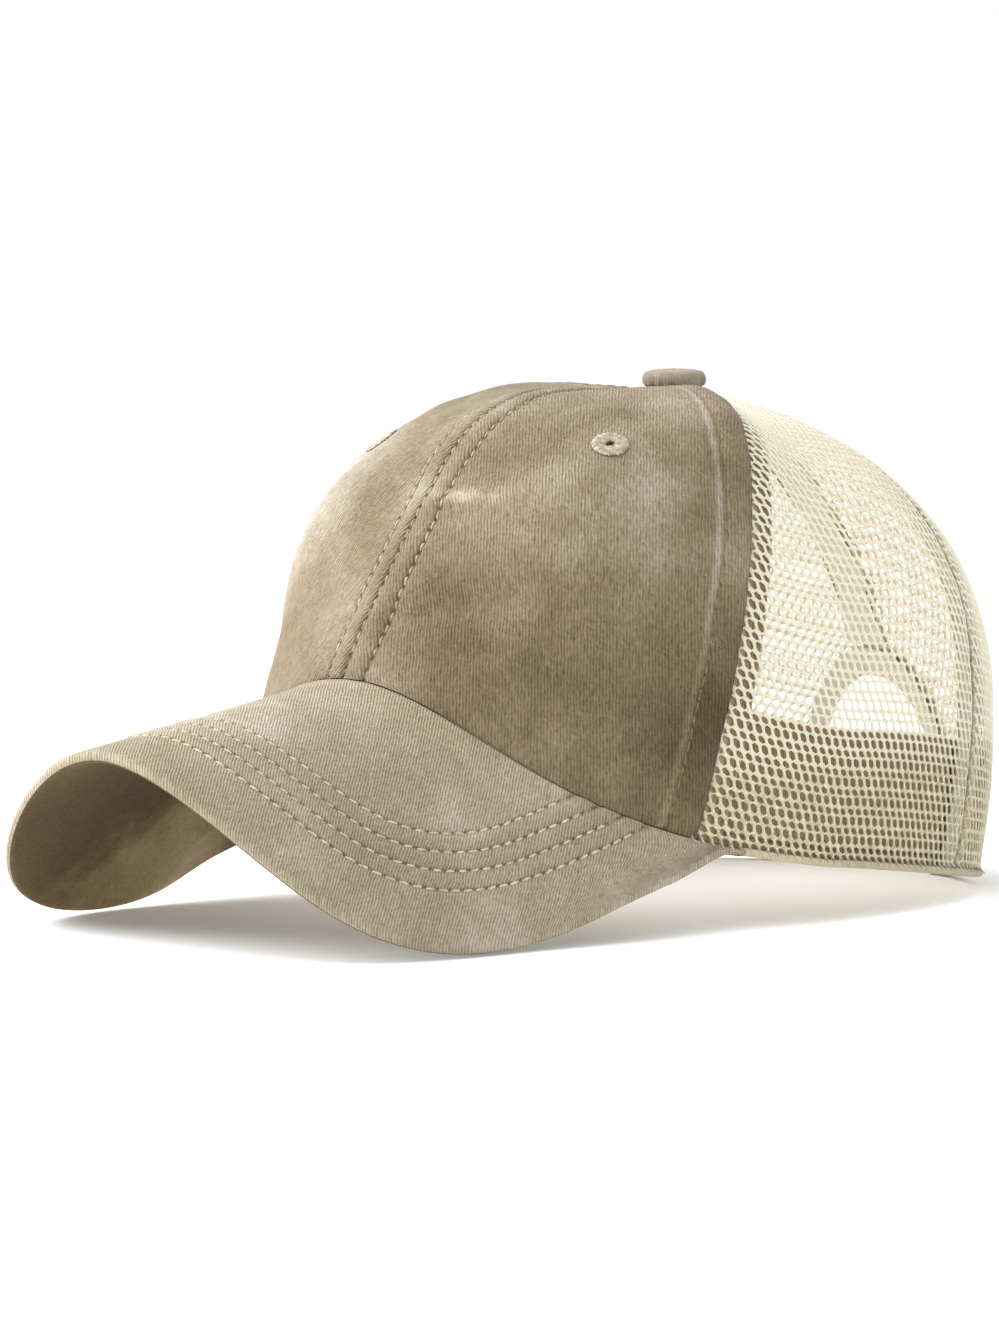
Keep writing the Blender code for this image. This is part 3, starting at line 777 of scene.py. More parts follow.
# %% [markdown]
# Each front panel is sewn to its twin in the middle, where rows of stitches raise two soft welts.
# Towards the net its edge is folded under and topstitched, 8 mm from the fold. Grid columns crowd at
# both seams, so that each stitch row lies on its own column.

# %% Front panels: where the cloth lies
FRONT_ROWS = 150
# The columns at the middle seam, at the field's two sides and at the fold
FRONT_COLUMNS = (0, 20, 72, 97)
COLUMN_GAP = 0.0004
FRONT_TOP = 0.972
FOLD_OVERLAP = 0.0010
CENTRE_COLUMNS = {"left": (16,), "right": (1, 15)}
FOLD_STITCH_COLUMN = 20
FOLD_LINE = COLUMN_GAP * FOLD_STITCH_COLUMN
ROWS_END = 0.90
SEAM_SWELL = 0.00055
FOLD_SWELL = 0.00045
LINE_DIP = 0.00028
PUCKER = 0.00014
RIM_TUCK = 0.0009
# Uneven cloth: height, size of the bumps and seed
UNEVEN = ((0.0009, 0.026, 1), (0.00038, 0.009, 2))
# Creases: side, angle, rise, reach along and across in degrees and rise, lean and depth in metres
CREASES = (
    ("left", 9, 0.265, 9, 0.012, 0.002, 0.0009),
    ("left", 12, 0.235, 10, 0.014, 0.002, -0.0007),
    ("left", 14, 0.075, 9, 0.010, 0.003, 0.0006),
    ("left", 17, 0.050, 9, 0.010, 0.003, -0.0006),
    ("left", 16, 0.10, 14, 0.030, 0.004, -0.0012),
    ("left", 20, 0.17, 16, 0.035, 0.003, 0.0011),
    ("left", 40, 0.09, 12, 0.028, -0.002, -0.0008),
    ("left", 30, 0.55, 12, 0.060, 0.004, 0.0006),
    ("right", 18, 0.12, 14, 0.032, 0.004, -0.0009),
    ("right", 42, 0.20, 12, 0.040, -0.003, 0.0008),
    ("right", 30, 0.60, 14, 0.050, 0.002, -0.0006),
)


def front_panel_places(sign):
    """The cloth's angles and rises, and its lengths from the middle seam and from the fold."""
    near, _, far = np.diff(FRONT_COLUMNS) * COLUMN_GAP
    columns = np.arange(FRONT_COLUMNS[-1] + 1)
    rises = np.linspace(0, FRONT_TOP, FRONT_ROWS + 1)
    angles, from_seam = np.zeros((2, len(rises), len(columns)))
    for row, rise in enumerate(rises):
        last = sign * (FRONT_SEAM + float(degrees_for(FOLD_OVERLAP, FRONT_SEAM, rise)))
        line = np.linspace(0, last, 90)
        runs = run_of(crown_point(line, rise))
        width = runs[-1]
        shrink = min(1.0, 0.3 * width / far)
        marks = (0, near * shrink, width - far * shrink, width)
        from_seam[row] = np.interp(columns, FRONT_COLUMNS, marks)
        angles[row] = np.interp(from_seam[row], runs, line)
    return angles, rises[:, None], from_seam, from_seam[:, -1:] - from_seam


def front_relief(side, points, angles, rises, from_seam, from_fold, up):
    """How far the cloth stands out of the crown's plain form, and its distance from a stitch row."""
    lines = tuple(COLUMN_GAP * column for column in CENTRE_COLUMNS[side])
    gaps = [np.abs(from_seam - line) for line in lines] + [np.abs(from_fold - FOLD_LINE)]
    gap = np.min(gaps, axis=0)
    relief = quilted(from_seam, (0.0, *lines), SEAM_SWELL)
    relief += quilted(from_fold, (0.0, FOLD_LINE), FOLD_SWELL)
    relief -= LINE_DIP * bell(gap, 0.0007)
    relief -= PUCKER * np.cos(2 * math.pi * up / STITCH_PITCH) * bell(gap, 0.0020)
    relief *= np.clip((ROWS_END + 0.04 - rises) / 0.06, 0, 1)
    relief -= RIM_TUCK * bell(up, 0.0014)
    for height, size, seed in UNEVEN:
        relief += height * ripple(points, size, seed)
    for on_side, angle, rise, reach, depth, lean, height in CREASES:
        if on_side == side:
            along = np.abs(angles) - angle
            across = rises - rise - lean * along
            relief += height * np.exp(-(along / reach) ** 2 - (across / depth) ** 2)
    return relief, gap


print("front panel columns:", FRONT_COLUMNS)

# %% [markdown]
# The sheet is laid on those points and thickened inwards, and its raw edges are rounded. Light falls
# through the eyelet's hole, so it is really cut, with a Boolean cutter.

# %% Front panels: the cloth
FRONT_THICKNESS = 0.0011
FRONT_EDGE = 0.0003
WORN_RIDGE = 0.0096
GRAIN_ANGLE = 36.0
FOLD_SOFTENING = 0.00035
FOLD_EDGE_PAINTED_SHADOW = 0.9
EYELET_ANGLE = 34.5
EYELET_RISE = 0.43
EYELET_HOLE = 0.0011
FRONT = {}


def punch(piece, centre, out, radius):
    """Cuts a round hole through a piece."""
    turn = Vector(out).to_track_quat("Z", "Y").to_euler()
    cutter = primitive(bpy.ops.mesh.primitive_cylinder_add, "cutter", vertices=24, radius=radius,
                       depth=0.008, location=centre, rotation=turn)
    apply_modifier(piece, "BOOLEAN", operation="DIFFERENCE", solver="EXACT", object=cutter)
    bpy.data.objects.remove(cutter)


for side, sign in SIDES:
    angles, rises, from_seam, from_fold = front_panel_places(sign)
    plain = crown_point(angles, rises)
    up = run_of(plain)
    relief, gap = front_relief(side, plain, angles, rises, from_seam, from_fold, up)
    points, outs = crown_layer(angles, rises, -relief), crown_outward(angles, rises)
    FRONT[side] = points, outs, rises, plain, relief
    facing = crown_outward(GRAIN_ANGLE * sign, 0.1)
    across = plain @ np.array([-facing[1], facing[0], 0.0])
    piece, cells = cut_cloth("front_cloth_" + side, points, across, up, inside_out=sign < 0)
    # The needle shade is softened at the fold row, and runs along the fold's edge as a painted shadow of
    # the fold on the net
    gap = np.where(from_fold < 2 * FOLD_LINE, gap + FOLD_SOFTENING, gap)
    note(piece, cells, row_gap=np.minimum(gap, from_fold * FOLD_EDGE_PAINTED_SHADOW), row_run=up,
         edge_gap=np.abs(from_fold - WORN_RIDGE))
    thicken(piece, FRONT_THICKNESS, FRONT_EDGE)
    eyelet = EYELET_ANGLE * sign, EYELET_RISE
    punch(piece, placed(crown_point(*eyelet)), turned(crown_outward(*eyelet)), EYELET_HOLE)
    dress(piece, front_cotton, "front_cotton", "front_panel_" + side)

# %% Front panels: their stitches
for side, (points, outs, rises, *_) in FRONT.items():

    def front_row(column, top, start):
        last = int((rises[:, 0] < top).sum())
        return stitches_along(points[:last, column], outs[:last, column], start=start)

    rows = [front_row(column, ROWS_END, 0.004) for column in CENTRE_COLUMNS[side]]
    sew("centre_stitches_" + side, rows, tan_thread, "front_cotton", aside=0.00028)
    sew("fold_stitches_" + side, [front_row(-1 - FOLD_STITCH_COLUMN, ROWS_END + 0.03, 0.003)],
        tonal_thread, "front_cotton", **FINE)

# %% [markdown]
# The peak is a stiff board covered with twill. One grid wraps round it, from the hidden root over
# the top and the outer edge and back below, and the open root is bridged. Four stitch rows quilt it.

# %% Peak: its form
PEAK_REACH = 0.0765
PEAK_HALF_WIDTH = 0.074
PEAK_TIP_HEIGHT = 0.0457
PEAK_THICKNESS = 0.003
PEAK_END_ANGLE = 72.0
PEAK_END_WIDTH = 0.002
PEAK_GAP = 0.0003
PEAK_ROOT_DEPTH = 0.0027
EDGE_WIDTH_SHARES = (0.0, 0.74, 0.92, 0.99, 1.0)
EDGE_REACH_SHARES = (1.0, 0.73, 0.097, -0.345, -0.76)
EDGE_HEIGHT_SHARES = (1.0, 0.285, 0.055, 0.255, 0.40)
PEAK_LINES = (0.0178, 0.0237, 0.0296, 0.0355)
PEAK_SWELL = 0.00030
PEAK_DIP = 0.00022


def mirrored_spline(values, shares, odd=False):
    """A smooth curve across the whole peak, from its values between the middle and one end."""
    values = np.asarray(values, float)
    knots = np.linspace(-1, 1, 2 * len(values) - 1)
    return spline(knots, np.concatenate([(-1.0 if odd else 1.0) * values[:0:-1], values]), shares)


def peak_edge(shares):
    width = mirrored_spline(EDGE_WIDTH_SHARES, shares, odd=True) * PEAK_HALF_WIDTH
    reach = mirrored_spline(EDGE_REACH_SHARES, shares) * PEAK_REACH
    height = mirrored_spline(EDGE_HEIGHT_SHARES, shares) * PEAK_TIP_HEIGHT
    return np.stack([width, -CROWN_FRONT_LENGTH - reach, height], -1)


def peak_seat(shares, depth=0.0):
    return crown_layer(np.asarray(shares) * PEAK_END_ANGLE, 0.0, depth) - np.array([0, 0, PEAK_GAP])


def peak_rulings(shares):
    """For each share across the peak: its seat, its edge, the root inside, and the way square to it."""
    seat = peak_seat(shares)
    closing = np.clip((np.abs(shares) - 0.8) / 0.2, 0, 1)[:, None] ** 2
    out = crown_outward(shares * PEAK_END_ANGLE, 0.0)
    edge = peak_edge(shares) * (1 - closing) + (seat + out * PEAK_END_WIDTH) * closing
    wide = np.clip(shares, -0.85, 0.85)
    ahead = peak_seat(wide + 0.02) + peak_edge(wide + 0.02)
    behind = peak_seat(wide - 0.02) + peak_edge(wide - 0.02)
    square = np.cross(ahead - behind, peak_edge(wide) - peak_seat(wide))
    square *= np.sign(square[:, 2:3]) / np.linalg.norm(square, axis=-1, keepdims=True)
    return seat, edge, peak_seat(shares, PEAK_ROOT_DEPTH), square


def peak_relief(from_edge):
    """The quilting of the peak at a distance in from its edge, and the gap to the nearest row."""
    gap = np.min([np.abs(from_edge - line) for line in PEAK_LINES], axis=0)
    return quilted(from_edge, PEAK_LINES, PEAK_SWELL) - PEAK_DIP * bell(gap, 0.0008), gap


def peak_row(line):
    """Points and outward ways along one stitch row, where the peak is wide enough for it."""
    shares = np.linspace(0.97, -0.97, 500)
    seat, edge, _, square = peak_rulings(shares)
    wide = np.linalg.norm(edge - seat, axis=1)
    along = (seat - edge) / wide[:, None]
    points = edge + along * line + square * peak_relief(np.array([line]))[0][0]
    fits = wide > line + 0.001
    return points[fits], square[fits], shares[fits]


print("peak edge runs", round(float(run_of(peak_edge(np.linspace(-1, 1, 200)))[-1]), 3), "m")

# %% Peak: the cloth
PEAK_COLUMNS = 240
PEAK_TOP_ROWS = 104
PEAK_NOSE_ROWS = 8
PEAK_UNDER_ROWS = 56
EDGE_GROOVE = 0.16

shares = np.linspace(1, -1, PEAK_COLUMNS + 1)
seat, edge, root, square = peak_rulings(shares)
wide = np.linalg.norm(edge - seat, axis=1)[:, None]
along = (edge - seat) / wide
nose = PEAK_THICKNESS / 2
none_near = np.ones(len(shares))
# Each row of the grid: its points, their distance from a stitch row and from the outer edge
rows = [(root, none_near, none_near)]
for step in np.linspace(1, 0, PEAK_TOP_ROWS):
    from_edge = nose + (wide - nose) * step
    relief, gap = peak_relief(from_edge)
    relief = relief * np.clip(step / 0.02, 0, 1)
    rows.append((edge - along * from_edge + square * relief, gap[:, 0], from_edge[:, 0]))
for step in np.linspace(0, 1, PEAK_NOSE_ROWS + 2)[1:-1]:
    turn = math.pi * step
    groove = 1 - EDGE_GROOVE * math.exp(-((step - 0.62) / 0.07) ** 2)
    spoke = along * math.sin(turn) + square * math.cos(turn)
    rows.append((edge - along * nose - square * nose + spoke * nose * groove, none_near,
                 none_near * nose * (1 - math.sin(turn))))
for step in np.linspace(0, 1, PEAK_UNDER_ROWS):
    from_edge = nose + (wide - nose) * step
    rows.append((edge - along * from_edge - square * PEAK_THICKNESS, none_near, from_edge[:, 0]))
rows.append((root - square * PEAK_THICKNESS, none_near, none_near))
points, gaps, edge_gaps = (np.stack(part) for part in zip(*rows))
across = run_of(points * np.array([1, 0, 1]), axis=1)
across -= across[:, PEAK_COLUMNS // 2:PEAK_COLUMNS // 2 + 1]
row_runs = np.zeros_like(gaps)
nearest = np.argmin([np.abs(edge_gaps - line) for line in PEAK_LINES], axis=0)
for number, line in enumerate(PEAK_LINES):
    curve, _, curve_shares = peak_row(line)
    at_share = np.interp(-shares, -curve_shares, run_of(curve))
    row_runs = np.where(nearest == number, at_share[None, :], row_runs)

peak_cloth, cells = cut_cloth("peak_cloth", points, across, -points[..., 1])
note(peak_cloth, cells, row_gap=gaps, row_run=row_runs, edge_gap=edge_gaps)
ends = (cells[0] == 0) | (cells[0] == len(rows) - 1)
pairs = np.array([line.vertices[:] for line in peak_cloth.data.edges])
edit(peak_cloth, (bpy.ops.mesh.bridge_edge_loops, {}), (bpy.ops.mesh.select_all, {"action": "SELECT"}),
     (bpy.ops.mesh.fill_holes, {"sides": 0}), chosen=ends[pairs].all(axis=1), kind="EDGE")
peak_cloth.data.shade_smooth()
dress(peak_cloth, peak_cotton, "peak_cotton", "peak")
peak_cloth.data.materials.append(under_cotton)
top_rows = PEAK_TOP_ROWS + PEAK_NOSE_ROWS * 0.7
for face in peak_cloth.data.polygons:
    face.material_index = int(np.mean([cells[0][corner] for corner in face.vertices]) > top_rows)
rows = [stitches_along(*peak_row(line)[:2], PEAK_PITCH, start=0.002) for line in PEAK_LINES]
sew("peak_stitches", rows, cream_thread, "peak_cotton", PEAK_PITCH, width=0.00085, height=0.00060,
    share=1.08, aside=0.00012)

# %% [markdown]
# In the net, yarn runs round six-sided holes. One hole's ring is inset from a six-sided circle, a
# second stands half a pitch aside, and arrays repeat the pair. The sheet is trimmed flat, thickened
# to strands and laid on the crown. Light goes through two layers of it, so no texture would do.

# %% Net: one flat sheet
NET_PITCH = 0.00272
NET_ROW = 0.00238
STRAND = 0.00084
STRAND_HEIGHT = 0.00056
NET_LEAN = 0.42
PAIR_SQUEEZE = 0.16
WALL_RUN = 0.165
NET_THICKNESS = 0.0004


def flat_net(name, across, up):
    """A sheet of net, lying flat from the origin up and centred across."""
    ring = primitive(bpy.ops.mesh.primitive_circle_add, name, vertices=6, radius=1, fill_type="NGON")
    size = (NET_PITCH / math.sqrt(3), NET_ROW * 2 / 3, 1)
    edit(ring, (bpy.ops.transform.resize, {"value": size}),
         (bpy.ops.mesh.inset, {"thickness": STRAND / 2}),
         (bpy.ops.mesh.delete, {"type": "ONLY_FACE"}))
    shape = corners(ring)
    ridge = np.zeros(len(shape))
    ridge[:6] = 1.0
    # Every hole leans, and strands run on in a slanting line from one row to the next
    lean = shape[:, 1] / NET_ROW
    lean = np.where((ridge > 0) & (np.abs(lean) > 0.5), lean - np.sign(lean), lean)
    shape[:, 0] -= NET_LEAN * NET_PITCH * lean
    set_corners(ring, shape)
    ring.data.attributes.new("ridge", "FLOAT", "POINT").data.foreach_set("value", ridge)
    aside = {"value": (NET_PITCH / 2, NET_ROW, 0)}
    edit(ring, (bpy.ops.mesh.duplicate_move, {"TRANSFORM_OT_translate": aside}))
    for offset, count in (((NET_PITCH, 0, 0), int(across / NET_PITCH) + 2),
                          ((0, 2 * NET_ROW, 0), int(up / NET_ROW / 2) + 2)):
        apply_modifier(ring, "ARRAY", count=count, use_relative_offset=False, use_constant_offset=True,
                       constant_offset_displace=offset, use_merge_vertices=True, merge_threshold=0.00001)
    edit(ring, (bpy.ops.mesh.remove_doubles, {"threshold": 0.00002}))
    flat = corners(ring)
    flat[:, 0] -= flat[:, 0].mean()
    flat[:, 1] -= NET_ROW * 0.8
    # Rows stand in pairs, with a thicker line of knots between them
    pair = (flat[:, 1] / (2 * NET_ROW)) % 1.0
    flat[:, 1] += PAIR_SQUEEZE * NET_ROW * np.sin(2 * math.pi * pair) / 2
    set_corners(ring, flat)
    return ring


def net_places(first, last, x, y):
    """The angle and rise on the crown of points of a flat sheet hung from a panel's middle."""
    levels = np.linspace(0, 1, 101)
    rise = np.interp(y, run_of(crown_point((first + last) / 2, levels)), levels)
    rise = np.where(y < 0, y / WALL_RUN, rise)
    line = np.linspace(min(first, last) - 8, max(first, last) + 8, 81)
    runs = run_of(crown_point(line[None, :], levels[:, None]), axis=1)
    runs -= runs[:, 40:41]
    level = np.clip(rise * 100, 0, 98.999)
    angle = np.zeros_like(x)
    for number in range(99):
        here = level.astype(int) == number
        if here.any():
            below = np.interp(x[here], runs[number], line)
            above = np.interp(x[here], runs[number + 1], line)
            angle[here] = below + (above - below) * (level[here] - number)
    return angle, rise


print("a square metre of this net has", round(1 / (NET_PITCH * NET_ROW)), "holes")

# %% [markdown]
# The side net tucks under the front panel's fold, and both nets dive into the back seam. The back
# net is cut out round the arch over the adjuster strap.

# %% Net: the four panels
NET_DEPTH = 0.0007
NET_TUCK = 0.0010
NET_HEM = -0.0030
NET_TOP = 0.968
OPENING_HALF_WIDTH = 0.038
OPENING_HEIGHT = 0.050
# Each panel's first and last angle, how far it goes under the first seam, and its height
NET_PANELS = {"side": (FRONT_SEAM, BACK_SEAM, 1.2, 0.165), "back": (BACK_SEAM, BACK, 0.0, 0.17)}


def opening_edge(rise, margin=0.0):
    """Half the back opening's angle at a rise: an arch with its feet on the rim."""
    half = degrees_for(OPENING_HALF_WIDTH + margin, BACK, 0.0)
    top = rise_for(OPENING_HEIGHT + margin, BACK)
    return half * np.sqrt(np.clip(1 - (rise / top) ** 2, 0, 1))


def net_depth(angle, rise):
    """How deep the net lies: it dips to the seams at its sides."""
    depth = NET_DEPTH + 0.0004 * ripple(crown_point(angle, rise), 0.018, 5)
    for seam, width in ((FRONT_SEAM - 0.5, 0.0035), (BACK_SEAM, 0.0018)):
        away = np.abs(np.abs(angle) - seam) / np.maximum(degrees_for(1.0, seam, rise), 1e-6)
        depth += NET_TUCK * bell(away, width)
    return depth


def net_panel(name, node, first, last, under, up):
    """Net between two angles, trimmed flat and then laid on the crown."""
    width = run_of(crown_point(np.linspace(first, last, 90), 0.25))[-1]
    net = flat_net(name, width * 1.25, up)
    flat = corners(net)
    angle, rise = net_places(first, last, flat[:, 0], flat[:, 1])
    end = np.minimum(abs(last), BACK - opening_edge(rise, 0.001))
    keep = (np.abs(angle) > abs(first) - under) & (np.abs(angle) < end)
    keep &= (rise >= NET_HEM) & (rise < NET_TOP)
    edit(net, (bpy.ops.mesh.delete, {"type": "VERT"}), chosen=~keep)
    apply_modifier(net, "SOLIDIFY", thickness=NET_THICKNESS, offset=0.0)
    ridge = np.empty(len(net.data.vertices))
    net.data.attributes["ridge"].data.foreach_get("value", ridge)
    flat = corners(net)
    high = np.sign(flat[:, 2]) * STRAND_HEIGHT / 2 * (0.35 + 0.65 * ridge)
    angle, rise = net_places(first, last, flat[:, 0], flat[:, 1])
    set_corners(net, placed(crown_layer(angle, rise, net_depth(angle, rise) - high)))
    edit(net, (bpy.ops.mesh.normals_make_consistent, {"inside": False}))
    net.data.shade_smooth()
    dress(net, net_yarn, "mesh_net", node)


for side, sign in SIDES:
    for kind, (first, last, under, up) in NET_PANELS.items():
        net_panel(kind + "_net_" + side, kind + "_mesh_" + side, first * sign, last * sign, under, up)

# %% [markdown]
# Tapes cover every seam inside and darken the net beside the front panel, and the sweatband stands
# inside the rim. One function lays each strip at a depth and thickens it.

# %% Tapes and bands
TAPE_DEPTH = 0.0016
TAPE_WIDTH = 0.0160
TAPE_THICKNESS = 0.0008
TAPE_TOP = 0.93
BAND_DEPTH = 0.0031
BAND_HEIGHT = 0.033
BAND_THICKNESS = 0.0012
BAND_END = 160.825
STRAP_END = 161.039
STRAP_HEIGHT = 0.020
OPENING_BORDER = 0.0083
THREAD_LIFT = 0.0001


def strip(name, angles, rises, depths, thickness, material, slot, node):
    """A strip of cloth whose rows and columns lie at given angles, rises and depths."""
    points = crown_layer(angles, rises, depths)
    piece = cut_cloth(name, points)[0]
    thicken(piece, thickness, thickness * 0.3)
    dress(piece, material, slot, node)
    return points, crown_outward(angles, rises)


def seam_tape(name, node, angle, material, low=0.0):
    """A tape over one seam, from a rise up to the button, with a row of stitches by each edge."""
    rises = np.linspace(low, TAPE_TOP, 71)[:, None]
    shares = np.linspace(-0.5, 0.5, 13)
    width = degrees_for(TAPE_WIDTH * np.clip((1 - rises) / 0.12, 0.35, 1), angle, rises)
    depths = TAPE_DEPTH - 0.0002 * bell(shares, 0.2)
    points, outs = strip(name, angle + width * shares, rises, depths, TAPE_THICKNESS, material,
                         "seam_tape", node)
    inner = points - outs * (TAPE_THICKNESS + THREAD_LIFT)
    rows = [stitches_along(inner[:64, column], -outs[:64, column], start=0.004) for column in (1, 11)]
    sew(name + "_stitches", rows, tonal_thread, "seam_tape", **FINE)
    rows = [stitches_along(points[:, column], outs[:, column]) for column in (0, 12)]
    sew(name + "_selvedge", rows, cream_thread, "seam_tape", width=0.0008, height=0.0007, share=1.25)


# The back seams' tapes, the middle one too, are painted pale as light through the far net; the front ones
# are not
for side, sign in SIDES:
    seam_tape("front_tape_" + side, "front_seam_tape_" + side, FRONT_SEAM * sign, tape_cotton)
    seam_tape("back_tape_" + side, "back_seam_tape_" + side, BACK_SEAM * sign, painted_pale_tape)
seam_tape("middle_tape_front", "front_middle_tape", 0.0, tape_cotton)
seam_tape("middle_tape_back", "back_middle_tape", BACK, painted_pale_tape,
          rise_for(OPENING_HEIGHT + OPENING_BORDER, BACK))


def standing_band(name, first, last, columns, height, material, slot, node, stitched):
    """A band that stands on the rim inside the wall, with stitch rows at some heights."""
    line = np.linspace(first, last, columns + 1)
    tops = np.array([rise_for(height, angle) for angle in line])
    rises = np.linspace(0, 1, 25)[:, None] * tops
    depths = BAND_DEPTH + np.abs(0.0003 * ripple(crown_point(line, rises), 0.015, 6))
    points, outs = strip(name, line, rises, depths, BAND_THICKNESS, material, slot, node)
    rows = [stitches_along(points[row] + outs[row] * lift, outs[row] * way)
            for row in stitched for lift, way in ((THREAD_LIFT, 1), (-BAND_THICKNESS - THREAD_LIFT, -1))]
    sew(name + "_stitches", rows, tonal_thread, slot, **FINE)


standing_band("sweat_band_cloth", -BAND_END, BAND_END, 240, BAND_HEIGHT,
              band_cotton, "sweatband_cloth", "sweatband", (2, 22))
standing_band("strap_webbing_cloth", STRAP_END, 360 - STRAP_END, 60, STRAP_HEIGHT,
              strap_cotton, "strap_webbing", "adjuster_strap", (3, 21))

# %% [markdown]
# The rim's tape shows below the net as a thin rolled edge. Over the strap, a tape is folded round
# the cut edge of the net, with one leg outside and one inside.

# %% Folded tapes
RIM_TAPE_HEIGHT = 0.0019
RIM_TAPE_DROP = 0.0015
RIM_TAPE_DEPTH = 0.0019
RIM_TAPE_HALF = 0.0022
ARCH_TAPE_WIDTH = 0.0075
ARCH_TAPE_THICKNESS = 0.0005
ARCH_OUTER_DEPTH = -0.0003
ARCH_INNER_DEPTH = 0.0024
ARCH_FOLD = 0.08

# A rolled strip under the wall, round in section, from the peak's end to the back opening
start = PEAK_END_ANGLE + float(degrees_for(0.0006, PEAK_END_ANGLE, 0.0))
turns = np.linspace(0, 2 * math.pi, 17)
depths = RIM_TAPE_DEPTH - RIM_TAPE_HALF * np.sign(np.cos(turns)) * np.abs(np.cos(turns)) ** 0.6
lifts = RIM_TAPE_HEIGHT / 2 * (1 + np.sin(turns)) - RIM_TAPE_DROP
for side, sign in SIDES:
    line = np.linspace(start, BACK - float(opening_edge(0.0)), 160) * sign
    points = crown_layer(line, 0.0, depths[:, None])
    points[..., 2] += lifts[:, None]
    piece = cut_cloth("rim_tape_" + side, points, inside_out=sign < 0)[0]
    edit(piece, (bpy.ops.mesh.remove_doubles, {"threshold": 0.00001}),
         (bpy.ops.mesh.fill_holes, {"sides": 0}), (bpy.ops.mesh.normals_make_consistent, {"inside": False}))
    piece.data.shade_smooth()
    dress(piece, rim_cotton, "rim_tape", "rim_binding_" + side)

# The arch's tape: how far each row of it is from the net's edge, and how deep it lies
fold = np.linspace(-math.pi / 2, math.pi / 2, 7)[1:-1]
middle_depth = (ARCH_OUTER_DEPTH + ARCH_INNER_DEPTH) / 2
leg = np.linspace(1, ARCH_FOLD, 10)
legs = np.concatenate([leg, ARCH_FOLD * (1 - np.cos(fold)), leg[::-1]])
depths = np.concatenate([np.full(10, ARCH_OUTER_DEPTH),
                         middle_depth + (ARCH_INNER_DEPTH - middle_depth) * np.sin(fold),
                         np.full(10, ARCH_INNER_DEPTH)])
turns = np.linspace(0, math.pi, 121)
margins = legs * ARCH_TAPE_WIDTH
angles = np.array([BACK - opening_edge(0.0, margin) * np.cos(turns) for margin in margins])
heights = np.array([rise_for(OPENING_HEIGHT + margin, BACK) * np.sin(turns) for margin in margins])
# The arch's tape is the paler copy of the seam tape, painted light
points, outs = strip("arch_tape", angles, heights, depths[:, None], ARCH_TAPE_THICKNESS, painted_pale_tape,
                     "rim_tape", "opening_binding")
row = stitches_along(points[2] + outs[2] * THREAD_LIFT, outs[2])
sew("arch_tape_stitches", [row], cream_thread, "rim_tape")

# %% [markdown]
# The back seam pulls both nets into a valley. Its overlock thread shows there as a wavy dark line.

# %% Back seams
SEAM_THREAD_PITCH = 0.0021
SEAM_THREAD_DEPTH = 0.0012
SEAM_THREAD_SWING = 0.55
for side, sign in SIDES:
    seam = BACK_SEAM * sign, np.linspace(0.004, TAPE_TOP, 300)
    points = crown_layer(*seam, SEAM_THREAD_DEPTH)
    middle, along, out = stitches_along(points, crown_outward(*seam), SEAM_THREAD_PITCH)
    swing = SEAM_THREAD_SWING * np.where(np.arange(len(middle)) % 2, 1.0, -1.0)[:, None]
    sew("back_seam_thread_" + side, [(middle, along + np.cross(out, along) * swing, out)], tan_thread,
        "mesh_net", SEAM_THREAD_PITCH, width=0.0009, height=0.0009, share=1.3)

# %% [markdown]
# The button is a low dome covered with twill: a cylinder primitive, bevelled at its rims, inset and
# raised on top. Gathered cloth folds in from the lower rim.

# %% Button
BUTTON_RADIUS = 0.0078
BUTTON_HEIGHT = 0.0048
low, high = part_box("top_button")
button = primitive(bpy.ops.mesh.primitive_cylinder_add, "button_cloth", vertices=64, radius=BUTTON_RADIUS,
                   depth=BUTTON_HEIGHT * 0.86, location=(0, 0, 0))
edit(button, (bpy.ops.mesh.select_mode, {"type": "EDGE"}),
     (bpy.ops.mesh.bevel, {"offset": 0.0017, "segments": 5, "profile": 0.5}))
for step in range(1, 6):
    top = max(button.data.polygons, key=lambda face: face.center.z + len(face.vertices) * 0.001).index
    edit(button, (bpy.ops.mesh.inset, {"thickness": 0.0011}),
         (bpy.ops.transform.translate, {"value": (0, 0, 0.00022 / step)}),
         chosen=np.arange(len(button.data.polygons)) == top, kind="FACE")
apply_modifier(button, "SUBSURF", levels=1, render_levels=1)
shape = corners(button)
turn = np.arctan2(shape[:, 1], shape[:, 0])
reach = np.hypot(shape[:, 0], shape[:, 1]) / BUTTON_RADIUS
lower = bell(shape[:, 2] + BUTTON_HEIGHT * 0.43, 0.0022) * (reach > 0.6)
folds = 1 + lower * (0.028 * np.sin(17 * turn) + 0.02 * np.sin(9 * turn + 1.0))
shape[:, :2] *= folds[:, None]
shape[:, 2] += 0.00012 * np.sin(3 * turn + 0.5) * reach
shape += np.array([*((low + high) / 2)[:2], high.z - shape[:, 2].max()])
set_corners(button, shape)
button.data.shade_smooth()
dress(button, button_cotton, "button_cotton", "top_button")

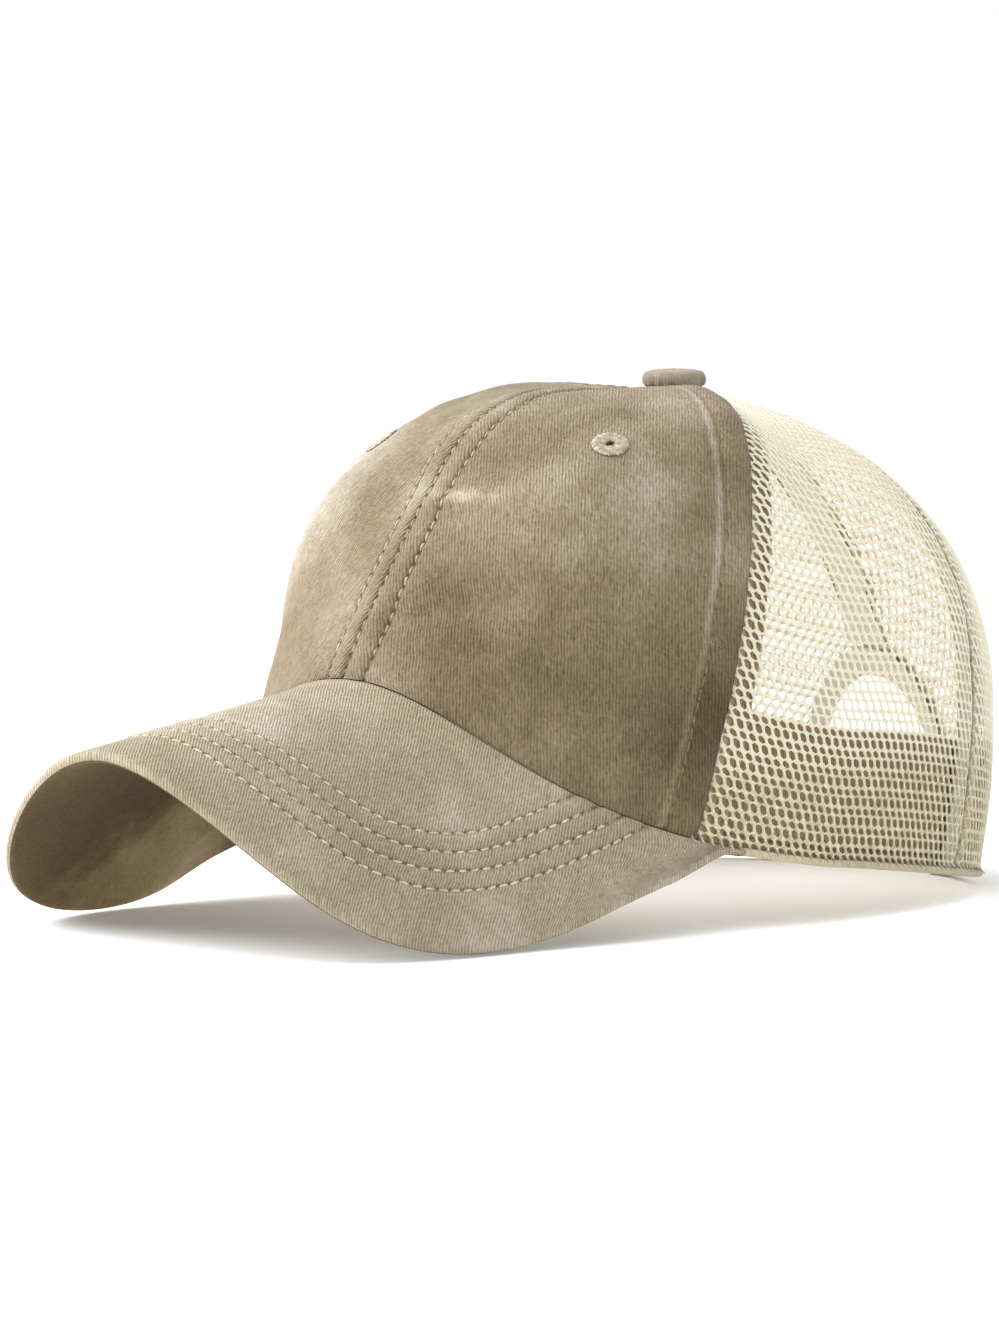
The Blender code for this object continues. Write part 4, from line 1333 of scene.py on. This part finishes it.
# %% [markdown]
# An eyelet is thread packed round a hole: a flat ring, and on it some forty stitches that run out
# from the hole, each a little longer or shorter than the next.

# %% Eyelets
EYELET_RADIUS = 0.0045
EYELET_SPOKES = 42
EYELET_LIFT = 0.0003
EYELET_FLATNESS = 0.22


def relief_under(side, places):
    """The relief of the front cloth at places on the plain crown, all near the first of them."""
    plain, relief = FRONT[side][3].reshape(-1, 3), FRONT[side][4].ravel()
    close = np.linalg.norm(plain - places[0], axis=1) < 4 * EYELET_RADIUS
    gaps = np.linalg.norm(plain[close][None] - places[:, None], axis=2)
    return relief[close][np.argmin(gaps, axis=1)][:, None]


for side, sign in SIDES:
    eyelet = EYELET_ANGLE * sign, EYELET_RISE
    centre, out = crown_point(*eyelet), crown_outward(*eyelet)
    level = np.cross(out, (0.0, 0.0, 1.0))
    level /= np.linalg.norm(level)
    upward = np.cross(level, out)
    middle_radius, length = (EYELET_RADIUS + EYELET_HOLE) / 2, EYELET_RADIUS - EYELET_HOLE
    ring = primitive(bpy.ops.mesh.primitive_torus_add, "eyelet_ring_" + side, major_segments=40,
                     minor_segments=10, major_radius=middle_radius, minor_radius=length / 2)
    x, y, z = corners(ring).T[:, :, None]
    points = centre + level * x + upward * y
    points += out * (relief_under(side, points) + z * EYELET_FLATNESS + EYELET_LIFT * 0.5)
    set_corners(ring, placed(points))
    ring.data.shade_smooth()
    dress(ring, eyelet_yarn, "eyelet_thread", "eyelet_" + side)
    turn = np.linspace(0, 2 * math.pi, EYELET_SPOKES, endpoint=False)
    turn += rng.normal(0, 0.02, EYELET_SPOKES)
    spoke = level * np.cos(turn)[:, None] + upward * np.sin(turn)[:, None]
    reach = middle_radius + rng.normal(0.0, 0.00018, EYELET_SPOKES)
    middles = centre + spoke * reach[:, None]
    middles += out * (relief_under(side, middles) + EYELET_LIFT)
    sew("eyelet_stitches_" + side, [(middles, spoke, np.tile(out, (EYELET_SPOKES, 1)))],
        eyelet_yarn, "eyelet_thread", length, width=0.00052, height=0.0007, share=1.10)
